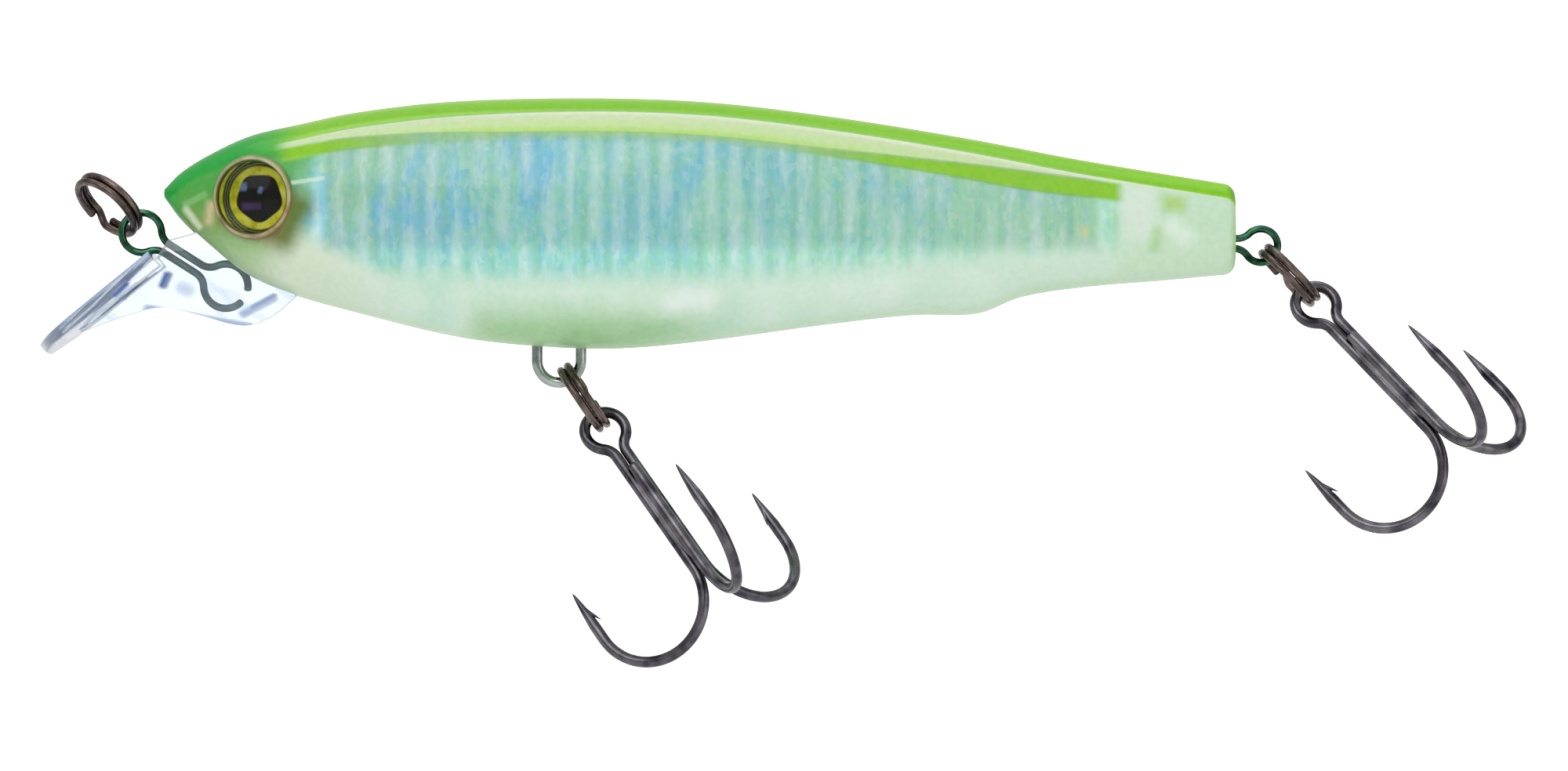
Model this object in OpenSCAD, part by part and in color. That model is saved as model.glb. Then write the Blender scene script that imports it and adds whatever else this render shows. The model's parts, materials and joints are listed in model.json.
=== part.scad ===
// Hard-bodied crankbait lure with a clear diving lip, two treble hooks and three split rings.
// The nose tip is the drawing's reference point: +X runs to the tail, +Z up, -Y is the left flank.
// The finished model is moved so that the centre of the line ring is the origin.

/* [Body] */
// Length from nose tip to tail face
body_length = 70; // [62:1:84]
// Height of the back above the nose line
back_height = 6.2; // [5.4:0.1:7.4]
// Depth of the belly below the nose line
belly_depth = 10.2; // [9.2:0.1:12.2]
// Greatest width across both flanks
body_width = 11; // [9.6:0.1:13.2]
// Wall of the moulded half-shells
wall = 1.1; // [0.9:0.05:1.2]
// Where the hollow starts behind the nose
hollow_start = 9.8; // [9.6:0.1:10.6]
// Solid tail stock behind the hollow
tail_stock = 8; // [7:0.1:9]

/* [Lip] */
// Length of the diving blade from root to tip
blade_length = 9.3; // [8:0.1:11.5]
// Greatest width of the diving blade
blade_width = 9.4; // [7.8:0.1:11.3]
// Thickness of the diving blade
blade_thickness = 1.2; // [0.9:0.1:1.4]
// Slope of the blade below the horizontal
blade_slope = 40; // [35:1:50]
// Thickness of the keel that joins the blade to the jaw
keel_thickness = 2; // [1.7:0.1:2.4]

/* [Eyes] */
// Diameter of the domed eye
eye_d = 4.6; // [3.8:0.1:5.2]
// Distance of the eye centre behind the nose tip
eye_x = 6.1; // [5.8:0.1:6.4]
// Height of the eye centre
eye_z = -0.4; // [-0.6:0.1:0]
// Depth of the eye socket below the cheek
socket_depth = 1.5; // [1.2:0.1:1.8]

/* [Wire forms] */
// Wire of the line tie
tie_wire = 0.5; // [0.4:0.05:0.6]
// Wire of the belly hanger
belly_wire = 0.72; // [0.6:0.02:0.8]
// Wire of the tail hanger
tail_wire = 0.5; // [0.4:0.05:0.6]
// Distance of the belly hanger behind the nose tip
hanger_x = 25.8; // [24.5:0.1:28]

/* [Rings] */
// Outside diameter of each split ring
ring_d = 5.1; // [4.6:0.1:6.1]
// Wire of each split ring
ring_wire = 0.52; // [0.44:0.02:0.56]
// Rest angle of the belly ring below the horizontal, towards the tail
belly_ring_dip = 56; // [45:1:90]
// Rest angle of the tail ring below the horizontal
tail_ring_dip = 46; // [35:0.5:90]

/* [Hooks] */
// Wire of the treble hooks
hook_wire = 0.74; // [0.6:0.02:0.8]
// Distance from the eye centre of a hook to the bottom of its bends
hook_reach = 15.4; // [12.5:0.1:17.6]
// Centreline radius of each bend
bend_r = 3.83; // [2.8:0.05:4]
// Length of each point, from the bend to its tip
point_length = 3.8; // [3.7:0.1:5.2]

/* [Weights] */
// Diameter of the fixed belly weight
weight_d = 4.2; // [3.5:0.1:4.4]
// Length of the fixed belly weight
weight_length = 8; // [6.5:0.1:8.4]
// Diameter of the weight transfer ball
transfer_ball_d = 3.5; // [2.9:0.1:3.6]
// Inside length of the weight transfer tube
tube_length = 14; // [11.5:0.1:15]
// Diameter of each rattle ball
rattle_ball_d = 2.4; // [2:0.1:2.6]
// Inside length of the rattle capsule
capsule_length = 8; // [7:0.1:8.4]

/* [Hidden] */
$fn = 48;

// Clearances
fit = 0.05;
moulded_fit = 0.02;
foil_gap = 0.2;

// Lengthwise outlines: [share of the length, share of the size]
back_shape = [[0, 0.04], [0.015, 0.21], [0.04, 0.39], [0.08, 0.6], [0.125, 0.72], [0.18, 0.85],
              [0.27, 0.965], [0.4, 1], [0.51, 0.955], [0.62, 0.81], [0.74, 0.595], [0.86, 0.34], [1, 0.08]];
belly_shape = [[0, 0.03], [0.015, 0.17], [0.04, 0.33], [0.08, 0.54], [0.125, 0.665], [0.18, 0.77],
               [0.27, 0.92], [0.34, 0.98], [0.42, 1], [0.5, 0.955], [0.62, 0.845], [0.7, 0.785],
               [0.76, 0.775], [0.8, 0.67], [0.86, 0.605], [0.93, 0.565], [1, 0.52]];
flank_shape = [[0, 0.07], [0.015, 0.27], [0.04, 0.46], [0.08, 0.68], [0.125, 0.84], [0.2, 0.96],
               [0.3, 1], [0.42, 0.98], [0.55, 0.88], [0.7, 0.7], [0.85, 0.5], [1, 0.32]];
section_power = 2.3;
tail_round = 0.7;

// Shell mesh
arc_steps = 13;
draft = 0.2;
hollow_end = body_length - tail_stock;

// Boss that grips the belly hanger
boss_reach = 4.2;
boss_start = hanger_x - boss_reach;
boss_end = hanger_x + boss_reach;
boss_top = -5;
core_clear = 1.6;

// Locating pins: [x, z] on the parting plane
pin_d = 1.1;
pin_reach = 1.3;
pins = [[8, 2.1], [hanger_x, -7.3], [body_length - 3.6, -0.4]];

// Smooth curve through the points of an outline
function slope(p, i) = let (a = max(i - 1, 0), b = min(i + 1, len(p) - 1))
    (p[b][1] - p[a][1]) / (p[b][0] - p[a][0]);
function segment(p, t, i = 0) = i >= len(p) - 2 || t <= p[i + 1][0] ? i : segment(p, t, i + 1);
function curve(p, t) = let (i = segment(p, t), w = p[i + 1][0] - p[i][0], u = (t - p[i][0]) / w)
    p[i][1] * (1 - 3 * u * u + 2 * u * u * u) + p[i + 1][1] * (3 * u * u - 2 * u * u * u)
    + slope(p, i) * w * (u - 2 * u * u + u * u * u) + slope(p, i + 1) * w * (u * u * u - u * u);

// Outer size of the body at x, with the edge of the tail face rounded over
function tail_inset(x) = let (u = x - body_length + tail_round)
    u > 0 ? tail_round - sqrt(max(0, tail_round * tail_round - u * u)) : 0;
function top_at(x) = curve(back_shape, x / body_length) * back_height - tail_inset(x);
function bottom_at(x) = -curve(belly_shape, x / body_length) * belly_depth + tail_inset(x);
function half_width_at(x) = curve(flank_shape, x / body_length) * body_width / 2 - tail_inset(x);
function middle_at(x) = (top_at(x) + bottom_at(x)) / 2;
function half_height_at(x) = (top_at(x) - bottom_at(x)) / 2;

// Distance of the flank from the parting plane at x and z, under a wall of depth t
function flank_at(x, z, t = 0) = let (u = abs(z - middle_at(x)) / (half_height_at(x) - t))
    (half_width_at(x) - t) * pow(max(0, 1 - pow(u, section_power)), 1 / section_power);

// Half section at x, from the back (a = 0) to the belly (a = 180), as [x, y, z]
function signed_power(v) = sign(v) * pow(abs(v), 2 / section_power);
function section_point(x, a, t) = [x, (half_width_at(x) - t) * signed_power(sin(a)),
    middle_at(x) + (half_height_at(x) - t) * signed_power(cos(a))];
function wall_at(x) = min(wall, 0.4 * half_height_at(x), 0.4 * half_width_at(x));
function in_hollow(x) = x > hollow_start && x < hollow_end;
function inner_point(x, a) = let (p = section_point(x, a, wall_at(x)))
    in_hollow(x) ? p : [p[0], 0, p[2]];
function ring_at(x) = concat(
    [for (i = [0:arc_steps]) section_point(x, 180 * i / arc_steps, 0)],
    [for (i = [arc_steps:-1:0]) inner_point(x, 180 * i / arc_steps)]);

function span(a, b, n) = [for (i = [0:n - 1]) a + (b - a) * i / n];
stations = concat(
    [for (i = [0:9]) hollow_start * pow(i / 10, 1.5)], [hollow_start],
    span(hollow_start + draft, hollow_end - draft, 23), [hollow_end - draft],
    span(hollow_end, body_length - tail_round, 3),
    [for (a = [0:30:90]) body_length - tail_round + tail_round * sin(a)]);

// Closed solid from equal rings of points; its end faces fan out from the point numbered apex
module loft(rings, apex = 0) {
    n = len(rings[0]);
    last = len(rings) - 1;
    polyhedron(points = [for (ring = rings) for (p = ring) p],
        faces = concat([[for (i = [n:-1:1]) (i + apex) % n]],
            [for (k = [0:last - 1]) for (i = [0:n - 1]) let (j = (i + 1) % n, a = k * n, b = a + n)
                each [[a + i, a + j, b + i], [a + j, b + j, b + i]]],
            [[for (i = [0:n - 1]) last * n + (i + apex) % n]]), convexity = 6);
}

module half_shell() {
    mirror([0, 1, 0]) loft([for (x = stations) ring_at(x)], floor(arc_steps / 2));
}

// Block inside the shell that grips the belly hanger; its skin lies half way through the wall
boss_rows = 7;
function boss_point(x, i) = let (z = boss_top + (bottom_at(x) + wall / 2 - boss_top) * i / boss_rows)
    [x, flank_at(x, z, wall / 2), z];
module hanger_boss() {
    mirror([0, 1, 0]) loft([for (x = concat(span(boss_start, boss_end, 5), [boss_end]))
        concat([[x, 0, boss_top]], [for (i = [0:boss_rows]) boss_point(x, i)])], 1);
}

// Exact wire pieces in the local XY plane
module arc_wire(r, d, from, to) {
    rotate([0, 0, from]) rotate_extrude(angle = to - from) translate([r, 0]) circle(d = d);
}

module strand(p, q, d) {
    v = q - p;
    translate([p[0], p[1], 0]) rotate([0, 0, atan2(v[1], v[0])]) rotate([0, 90, 0])
        cylinder(d = d, h = norm(v));
}

// Swept wire: each path entry is [point, radius, direction square to the bend's plane]
wire_sides = 10;
function path_tangent(path, i) = let (v = path[min(i + 1, len(path) - 1)][0] - path[max(i - 1, 0)][0])
    v / norm(v);
function wire_ring(entry, t) = let (n = cross(entry[2], t))
    [for (k = [0:wire_sides - 1]) let (a = 360 * k / wire_sides)
        entry[0] + entry[1] * (cos(a) * n - sin(a) * entry[2])];
module swept_wire(path) {
    loft([for (i = [0:len(path) - 1]) wire_ring(path[i], path_tangent(path, i))]);
}

// Points round part of a circle in the XY plane, the last one left out
function arc_points(centre, r, from, to, steps) =
    [for (i = [0:steps - 1]) let (a = from + (to - from) * i / steps) centre + r * [cos(a), sin(a), 0]];

// Where an eye's blends reach its two strands, and the angle at which they leave the eye
blend_r = 1.1;
eye_steps = 16;
blend_steps = 4;
function blend_x(r, half_gap) = sqrt(pow(r + blend_r, 2) - pow(half_gap + blend_r, 2));
function blend_angle(r, half_gap) = atan2(half_gap + blend_r, blend_x(r, half_gap));

// Eye at the origin, entered along the upper strand and left along the lower one
function eye_points(r, half_gap) = let (x = blend_x(r, half_gap), a = blend_angle(r, half_gap),
        y = half_gap + blend_r)
    concat(arc_points([x, y, 0], blend_r, -90, a - 180, blend_steps),
        arc_points([0, 0, 0], r, a, 360 - a, eye_steps),
        arc_points([x, -y, 0], blend_r, 180 - a, 90, blend_steps), [[x, -half_gap, 0]]);

// Closed eye at the origin and open anchor loop at x = length, joined by two strands
anchor_ends = [25, 345];
function figure_eight(eye_r, anchor_r, length, d) = let (half_gap = d / 2 + 0.08,
        x = length - blend_x(anchor_r, half_gap), a = blend_angle(anchor_r, half_gap),
        y = half_gap + blend_r, centre = [length, 0, 0], last = anchor_ends[1])
    [for (p = concat(arc_points(centre, anchor_r, anchor_ends[0], 180 - a, eye_steps / 2),
        arc_points([x, y, 0], blend_r, -a, -90, blend_steps), [[x, half_gap, 0]],
        eye_points(eye_r, half_gap),
        arc_points([x, -y, 0], blend_r, 90, a, blend_steps),
        arc_points(centre, anchor_r, 180 + a, last, eye_steps / 2),
        [centre + anchor_r * [cos(last), sin(last), 0]])) [p, d / 2, [0, 0, 1]]];

// Recess for the anchor loop and its strands, from x = start to the loop at x = length
module keyhole_pocket(anchor_r, length, start, d, gap) {
    half_gap = d / 2 + 0.08;
    half = d / 2 + gap;
    a = blend_angle(anchor_r, half_gap);
    x = length - blend_x(anchor_r, half_gap);
    tangent = [length - (anchor_r + half) * cos(a), (anchor_r + half) * sin(a)];
    translate([0, 0, -half]) {
        translate([start, -half_gap - half, 0]) cube([x - start + gap, 2 * (half_gap + half), 2 * half]);
        linear_extrude(2 * half) polygon([[x, half_gap + half], tangent,
            [tangent[0], -tangent[1]], [x, -half_gap - half]]);
        translate([length, 0, 0]) difference() {
            cylinder(r = anchor_r + half, h = 2 * half);
            translate([0, 0, -half]) cylinder(r = anchor_r - half, h = 4 * half);
        }
    }
}

// Line tie: its eye hangs ahead of the jaw and its anchor loop lies in the keel of the lip
tie_eye = [-1.5, -2.6];
tie_anchor = [4, -6.1];
tie_eye_r = 1.3;
tie_anchor_r = 1.45;
tie_exit = 1.75;
module along_line_tie() {
    v = tie_anchor - tie_eye;
    translate([tie_eye[0], 0, tie_eye[1]]) rotate([90, 0, 0]) rotate([0, 0, atan2(v[1], v[0])]) children();
}

// Tail hanger: the anchor loop is held in the solid tail stock
tail_eye = [body_length + 1.7, -3.45];
tail_anchor = [body_length - 4.5, -2.9];
tail_eye_r = 1.1;
tail_anchor_r = 1.15;
module along_tail_hanger() {
    v = tail_anchor - tail_eye;
    translate([tail_eye[0], 0, tail_eye[1]]) rotate([90, 0, 0]) rotate([0, 0, atan2(v[1], v[0])]) children();
}

// Belly hanger: a staple whose legs end in feet turned outwards inside the boss
hanger_r = 1.43;
hanger_drop = 0.85;
hanger_eye_z = bottom_at(hanger_x) - hanger_drop;
foot_bend = 0.7;
foot_length = 0.8;
foot_z = boss_top - 1.1;
bend_height = foot_z - hanger_eye_z - foot_bend;
module belly_hanger_form() {
    translate([hanger_x, 0, hanger_eye_z]) rotate([90, 0, 0]) {
        arc_wire(hanger_r, belly_wire, 180, 360);
        for (side = [0, 1]) mirror([side, 0, 0]) {
            strand([hanger_r, 0], [hanger_r, bend_height], belly_wire);
            translate([hanger_r + foot_bend, bend_height, 0]) arc_wire(foot_bend, belly_wire, 90, 180);
            strand([hanger_r + foot_bend, bend_height + foot_bend],
                [hanger_r + foot_bend + foot_length, bend_height + foot_bend], belly_wire);
        }
    }
}

// Channels in the boss for the staple's legs and feet
module staple_pocket() {
    half = belly_wire / 2 + fit;
    top = bend_height + foot_bend + half;
    inner = hanger_r - half;
    translate([hanger_x, 0, hanger_eye_z]) for (side = [0, 1]) mirror([side, 0, 0])
        flat_in_xz(2 * half) polygon([[inner, 0], [hanger_r + half, 0],
            [hanger_r + half, bend_height], [hanger_r + foot_bend, bend_height + foot_bend - half],
            [hanger_r + foot_bend + foot_length + fit, bend_height + foot_bend - half],
            [hanger_r + foot_bend + foot_length + fit, top], [inner, top]]);
}

// Clear lip: a blade, and a keel that carries the line tie and plugs into the jaw
blade_root = [-0.5, -4.35];
keel_end = hollow_start - 1.2;
tongue_edge = [[0.3, -3.1], [2.1, -2.6], [4.6, -3.7], [keel_end, -5.4]];
keel_edge = [[-5.4, -9.1], [-2.7, -8.1], [-0.2, -7.5], [2.3, -8], [5.2, -8.7], [7, -8.1], [keel_end, -6.8]];
keel_steps = 16;

function keel_x(i) = keel_edge[0][0] + (keel_end - keel_edge[0][0]) * i / keel_steps;
module keel_profile() {
    polygon(concat([blade_root], tongue_edge,
        [for (i = [keel_steps:-1:0]) [keel_x(i), curve(keel_edge, keel_x(i))]]));
}

// Half width of the blade at share t of its length
blade_shape = [[0, 0.56], [0.2, 0.66], [0.45, 0.86], [0.65, 0.98], [0.78, 1], [0.9, 0.86], [1, 0.42]];
blade_steps = 14;
function blade_half(i) = curve(blade_shape, i / blade_steps) * blade_width / 2;
module blade() {
    translate([blade_root[0], 0, blade_root[1]]) rotate([0, blade_slope, 180])
        translate([0, 0, -blade_thickness / 2])
            linear_extrude(blade_thickness) polygon(concat(
                [for (i = [0:blade_steps]) [blade_length * i / blade_steps, blade_half(i)]],
                [for (i = [blade_steps:-1:0]) [blade_length * i / blade_steps, -blade_half(i)]]));
}

module flat_in_xz(thickness) {
    rotate([90, 0, 0]) translate([0, 0, -thickness / 2]) linear_extrude(thickness) children();
}

module diving_lip() {
    color([0.88, 0.95, 0.97, 0.6]) at_line_ring() difference() {
        union() {
            blade();
            flat_in_xz(keel_thickness) keel_profile();
        }
        along_line_tie() keyhole_pocket(tie_anchor_r, norm(tie_anchor - tie_eye), tie_exit, tie_wire, moulded_fit);
    }
}

// Slot for the lip's tongue, open towards the jaw
module tongue_slot() {
    rear = tongue_edge[3] + [fit, fit];
    flat_in_xz(keel_thickness + 2 * fit)
        polygon([[-1, -3.1 + fit], tongue_edge[0] + [0, fit], tongue_edge[1] + [0, fit],
            tongue_edge[2] + [0, fit], rear, [rear[0], -9.5], [-1, -9.5]]);
}

// Eye socket frame: local +Z points out of the left cheek
eye_turn = 15;
eye_cheek = flank_at(eye_x, eye_z);
module at_left_eye() {
    translate([eye_x, -eye_cheek, eye_z]) rotate([0, 0, -eye_turn]) rotate([90, 0, 0]) children();
}

rim_width = 0.55;
rim_height = 0.3;
module eye_rim() {
    chamfer = rim_width / 4;
    at_left_eye() rotate_extrude() translate([eye_d / 2 + fit, 0])
        polygon([[0, -socket_depth], [rim_width, -socket_depth], [rim_width, rim_height - chamfer],
            [rim_width - chamfer, rim_height], [chamfer, rim_height], [0, rim_height - chamfer]]);
}

module body_half(pin) {
    difference() {
        union() {
            half_shell();
            hanger_boss();
            eye_rim();
            if (pin) for (p = pins)
                translate([p[0], pin_reach, p[1]]) rotate([90, 0, 0])
                    cylinder(d = pin_d, h = 2 * pin_reach);
        }
        at_left_eye() translate([0, 0, -socket_depth]) cylinder(d = eye_d + 2 * fit, h = 2 * socket_depth);
        tongue_slot();
        staple_pocket();
        along_tail_hanger() keyhole_pocket(tail_anchor_r, norm(tail_anchor - tail_eye), tail_eye_r, tail_wire, fit);
        if (!pin) for (p = pins)
            translate([p[0], fit, p[1]]) rotate([90, 0, 0])
                cylinder(d = pin_d + 2 * fit, h = pin_reach + 3 * fit);
    }
}

module body_left() {
    color([0.72, 0.87, 0.62, 0.7]) at_line_ring() body_half(true);
}

module body_right() {
    color([0.72, 0.87, 0.62, 0.7]) at_line_ring() mirror([0, 1, 0]) body_half(false);
}

// Ribbed foil plates along the inside of each flank
foil_thickness = 0.3;
foil_margin = 0.35;
foil_low = -4.9;
foil_rows = 4;
rib_pitch = 1.5;
rib_height = 0.14;
rib_count = floor((hollow_end - hollow_start - 2 * (draft + foil_margin)) / rib_pitch);
foil_start = hollow_start + draft + foil_margin;
function foil_x(k) = foil_start + k * rib_pitch / 2;
function foil_top(x) = top_at(x) - wall - 1;
function foil_bottom(x) = max(foil_low, bottom_at(x) + wall + 0.8);
function foil_row(x, i, depth) = let (z = foil_bottom(x) + (foil_top(x) - foil_bottom(x)) * i / foil_rows)
    [x, -flank_at(x, z, wall) + foil_gap + depth, z];
module foil_plate() {
    loft([for (k = [0:2 * rib_count]) let (x = foil_x(k), rib = k % 2 == 0 ? rib_height : 0) concat(
        [for (i = [0:foil_rows]) foil_row(x, i, rib)],
        [for (i = [foil_rows:-1:0]) foil_row(x, i, rib + foil_thickness)])]);
}

module foil_left() {
    color([0.6, 0.82, 0.82]) at_line_ring() foil_plate();
}

module foil_right() {
    color([0.6, 0.82, 0.82]) at_line_ring() mirror([0, 1, 0]) foil_plate();
}

// Eyes: a printed foil disc at the bottom of the socket, under a clear dome
eye_foil_thickness = 0.2;
eye_dome_rise = 0.75;
module eye_foil() {
    at_left_eye() translate([0, 0, moulded_fit - socket_depth])
        cylinder(d = eye_d - 2 * fit, h = eye_foil_thickness);
}

module eye_dome() {
    base = 2 * moulded_fit + eye_foil_thickness - socket_depth;
    cap_r = (pow(eye_d / 2, 2) + pow(eye_dome_rise, 2)) / (2 * eye_dome_rise);
    at_left_eye() rotate_extrude() polygon(concat([[0, base], [eye_d / 2, base]],
        [for (a = [0:0.125:1]) let (r = eye_d / 2 * (1 - a))
            [r, sqrt(cap_r * cap_r - r * r) - cap_r + eye_dome_rise]]));
}

module eye_foil_left() {
    color([0.85, 0.8, 0.2]) at_line_ring() eye_foil();
}

module eye_foil_right() {
    color([0.85, 0.8, 0.2]) at_line_ring() mirror([0, 1, 0]) eye_foil();
}

module eye_dome_left() {
    color([0.1, 0.1, 0.12, 0.6]) at_line_ring() eye_dome();
}

module eye_dome_right() {
    color([0.1, 0.1, 0.12, 0.6]) at_line_ring() mirror([0, 1, 0]) eye_dome();
}

// Wire forms
module line_tie() {
    color([0.3, 0.42, 0.36]) at_line_ring() along_line_tie()
        swept_wire(figure_eight(tie_eye_r, tie_anchor_r, norm(tie_anchor - tie_eye), tie_wire));
}

module belly_hanger() {
    color([0.55, 0.6, 0.58]) at_line_ring() belly_hanger_form();
}

module tail_hanger() {
    color([0.3, 0.36, 0.38]) at_line_ring() along_tail_hanger()
        swept_wire(figure_eight(tail_eye_r, tail_anchor_r, norm(tail_anchor - tail_eye), tail_wire));
}

// Split ring: two coils side by side, stepped across by one short slanting strand
ring_r = (ring_d - ring_wire) / 2;
coil_offset = ring_wire * 0.52;
step_angle = 16;
module split_ring() {
    for (s = [-1, 1]) translate([0, 0, s * coil_offset])
        arc_wire(ring_r, ring_wire, step_angle, 360 - step_angle);
    half_step = ring_r * sin(step_angle);
    overrun = 0.12;
    tilt = atan2(half_step, coil_offset);
    rise = norm([half_step, coil_offset]);
    translate([ring_r * cos(step_angle), 0, 0]) rotate([-tilt, 0, 0]) translate([0, 0, -rise - overrun])
        cylinder(d = ring_wire, h = 2 * (rise + overrun));
}

// Chain of a ring and a hook: dip is the angle below the horizontal, towards the tail
module ring_pose(eye, dip, roll, hang) {
    translate([eye[0], 0, eye[1]]) rotate([0, dip, 0]) translate([hang + ring_r, 0, 0])
        rotate([roll, 0, 0]) rotate([0, 0, 90]) children();
}

// Each ring hangs in its eye with one ring wire inside the loop
tie_hang = 0.52;
belly_hang = 0.6;
tail_hang = 0.4;
line_ring_dip = 220;
line_ring_roll = 27;
line_ring_centre = tie_eye + (tie_hang + ring_r) * [cos(line_ring_dip), -sin(line_ring_dip)];
belly_eye = [hanger_x, hanger_eye_z];

module at_line_ring() {
    translate([-line_ring_centre[0], 0, -line_ring_centre[1]]) children();
}

module line_ring() {
    color([0.38, 0.33, 0.33]) at_line_ring()
        ring_pose(tie_eye, line_ring_dip, line_ring_roll, tie_hang) split_ring();
}

module belly_ring() {
    color([0.38, 0.33, 0.33]) at_line_ring() ring_pose(belly_eye, belly_ring_dip, 0, belly_hang) split_ring();
}

module tail_ring() {
    color([0.38, 0.33, 0.33]) at_line_ring() ring_pose(tail_eye, tail_ring_dip, 0, tail_hang) split_ring();
}

// Treble hook, local +Z down the shank from the centre of the eye
strand_r = (hook_wire + 0.04) / sqrt(3);
shank_half = strand_r * cos(30);
shank_side = strand_r * sin(30);
hook_eye_r = 1.36;
bend_z = hook_reach - hook_wire / 2 - bend_r;
tip_d = 0.08;
taper_length = 2.6;
barb_length = 0.9;
barb_turn = 24;
barb_share = 0.5;
barb_facets = 6;
single_top = 3.4;
hook_hang = 0.25;
hook_lean = 19;
treble_turn = 161;

// Shank, bend and barbed point in the plane at the given angle round the shank
module hook_barb(angle) {
    rotate([0, 0, angle])
        translate([strand_r + 2 * bend_r - hook_wire * 0.2, 0, bend_z - point_length + taper_length - barb_length])
            rotate([0, -barb_turn, 0]) cylinder(d1 = hook_wire * barb_share, d2 = tip_d, h = barb_length, $fn = barb_facets);
}

module single_hook() {
    rotate([0, 0, 270]) {
        translate([strand_r, 0, single_top]) cylinder(d = hook_wire, h = bend_z - single_top);
        translate([strand_r + bend_r, 0, bend_z]) {
            rotate([90, 0, 0]) arc_wire(bend_r, hook_wire, 0, 180);
            translate([bend_r, 0, taper_length - point_length])
                cylinder(d = hook_wire, h = point_length - taper_length);
            translate([bend_r, 0, -point_length]) cylinder(d1 = tip_d, d2 = hook_wire, h = taper_length);
        }
    }
    hook_barb(270);
}

// Half of the double hook's wire, from the point at the given angle up to the eye's strand
bend_steps = 14;
function bend_entry(angle, reach, z, d, side) =
    [[reach * cos(angle), reach * sin(angle), z], d / 2, side * [-sin(angle), cos(angle), 0]];
function hook_half(angle, side) = concat(
    [bend_entry(angle, strand_r + 2 * bend_r, bend_z - point_length, tip_d, side),
     bend_entry(angle, strand_r + 2 * bend_r, bend_z - point_length + taper_length, hook_wire, side)],
    [for (i = [0:bend_steps]) let (a = 180 * i / bend_steps)
        bend_entry(angle, strand_r + bend_r + bend_r * cos(a), bend_z + bend_r * sin(a), hook_wire, side)]);
function reversed(list) = [for (i = [len(list) - 1:-1:0]) list[i]];
function hook_eye() = [for (p = eye_points(hook_eye_r, shank_half))
    [[p[1], shank_side, p[0]], hook_wire / 2, [0, 1, 0]]];

module double_hook() {
    swept_wire(concat(hook_half(30, 1), hook_eye(), reversed(hook_half(150, -1))));
    hook_barb(30);
    hook_barb(150);
}

module hook_pose(eye, ring_dip, ring_hang, dip) {
    translate([eye[0], 0, eye[1]]) rotate([0, ring_dip, 0]) translate([ring_hang + 2 * ring_r, 0, 0])
        rotate([0, dip - ring_dip, 0]) translate([hook_hang, 0, 0])
            rotate([180, -90, 0]) rotate([-hook_lean, 0, 0]) rotate([0, 0, treble_turn]) children();
}

belly_hook_dip = 54.5;
tail_hook_dip = 47.5;
module belly_hook_place() {
    at_line_ring() hook_pose(belly_eye, belly_ring_dip, belly_hang, belly_hook_dip) children();
}

module tail_hook_place() {
    at_line_ring() hook_pose(tail_eye, tail_ring_dip, tail_hang, tail_hook_dip) children();
}

module belly_double_hook() {
    color([0.42, 0.42, 0.45]) belly_hook_place() double_hook();
}

module belly_single_hook() {
    color([0.48, 0.48, 0.5]) belly_hook_place() single_hook();
}

module tail_double_hook() {
    color([0.42, 0.42, 0.45]) tail_hook_place() double_hook();
}

module tail_single_hook() {
    color([0.48, 0.48, 0.5]) tail_hook_place() single_hook();
}

// Weights: both tubes lean forward, so that their balls rest against the front end
tube_lean = 3;
tube_wall = 0.3;
plug_length = 0.6;
tube_start = boss_end + 1.6;
tube_z = -3.3;
tube_bore = transfer_ball_d + 2 * fit;
tube_d = tube_bore + 2 * tube_wall;
capsule_start = hollow_start + 2.2;
capsule_z = 1.2;
capsule_bore = rattle_ball_d + 2 * fit;
capsule_d = capsule_bore + 2 * tube_wall;
weight_start = hollow_start + 2.6;
weight_z = -4.3;

// Local +X runs along a leaning tube from its front end
module along_tube(x, z) {
    translate([x, 0, z]) rotate([0, -tube_lean, 0]) children();
}

module rod(x, d, h) {
    translate([x, 0, 0]) rotate([0, 90, 0]) cylinder(d = d, h = h);
}

// Tube closed at the rear, open at the front for its plug
module closed_tube(d, bore, length) {
    difference() {
        rod(0, d, length + 2 * plug_length);
        rod(-fit, bore, length + plug_length + fit);
    }
}

module core_plate() {
    thickness = 0.8;
    gap = 0.2;
    first = hollow_start + draft + fit;
    last = hollow_end - draft - fit;
    steps = 24;
    function core_x(i) = first + (last - first) * i / steps;
    color([0.8, 0.86, 0.8]) at_line_ring() difference() {
        flat_in_xz(thickness) polygon(concat(
            [for (i = [0:steps]) [core_x(i), top_at(core_x(i)) - wall - gap]],
            [for (i = [steps:-1:0]) [core_x(i), bottom_at(core_x(i)) + wall + gap]]));
        flat_in_xz(2 * thickness) translate([boss_start - fit, -belly_depth])
            square([boss_end - boss_start + 2 * fit, belly_depth + boss_top + core_clear]);
        flat_in_xz(2 * thickness) translate([weight_start - fit, -belly_depth])
            square([weight_length + 2 * fit, belly_depth + weight_z + weight_d / 2 + fit]);
        along_tube(tube_start, tube_z) flat_in_xz(2 * thickness) translate([-fit, -tube_d / 2 - fit])
            square([tube_length + 2 * plug_length + 2 * fit, tube_d + 2 * fit]);
        along_tube(capsule_start, capsule_z) flat_in_xz(2 * thickness) translate([-fit, -capsule_d / 2 - fit])
            square([capsule_length + 2 * plug_length + 2 * fit, capsule_d + 2 * fit]);
    }
}

module belly_weight() {
    color([0.5, 0.5, 0.52]) at_line_ring() translate([0, 0, weight_z])
        rod(weight_start, weight_d, weight_length);
}

module transfer_tube() {
    color([0.9, 0.93, 0.93, 0.6]) at_line_ring() along_tube(tube_start, tube_z)
        closed_tube(tube_d, tube_bore, tube_length);
}

module tube_plug() {
    color([0.85, 0.85, 0.85]) at_line_ring() along_tube(tube_start, tube_z)
        rod(0, tube_bore - moulded_fit, plug_length);
}

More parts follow.
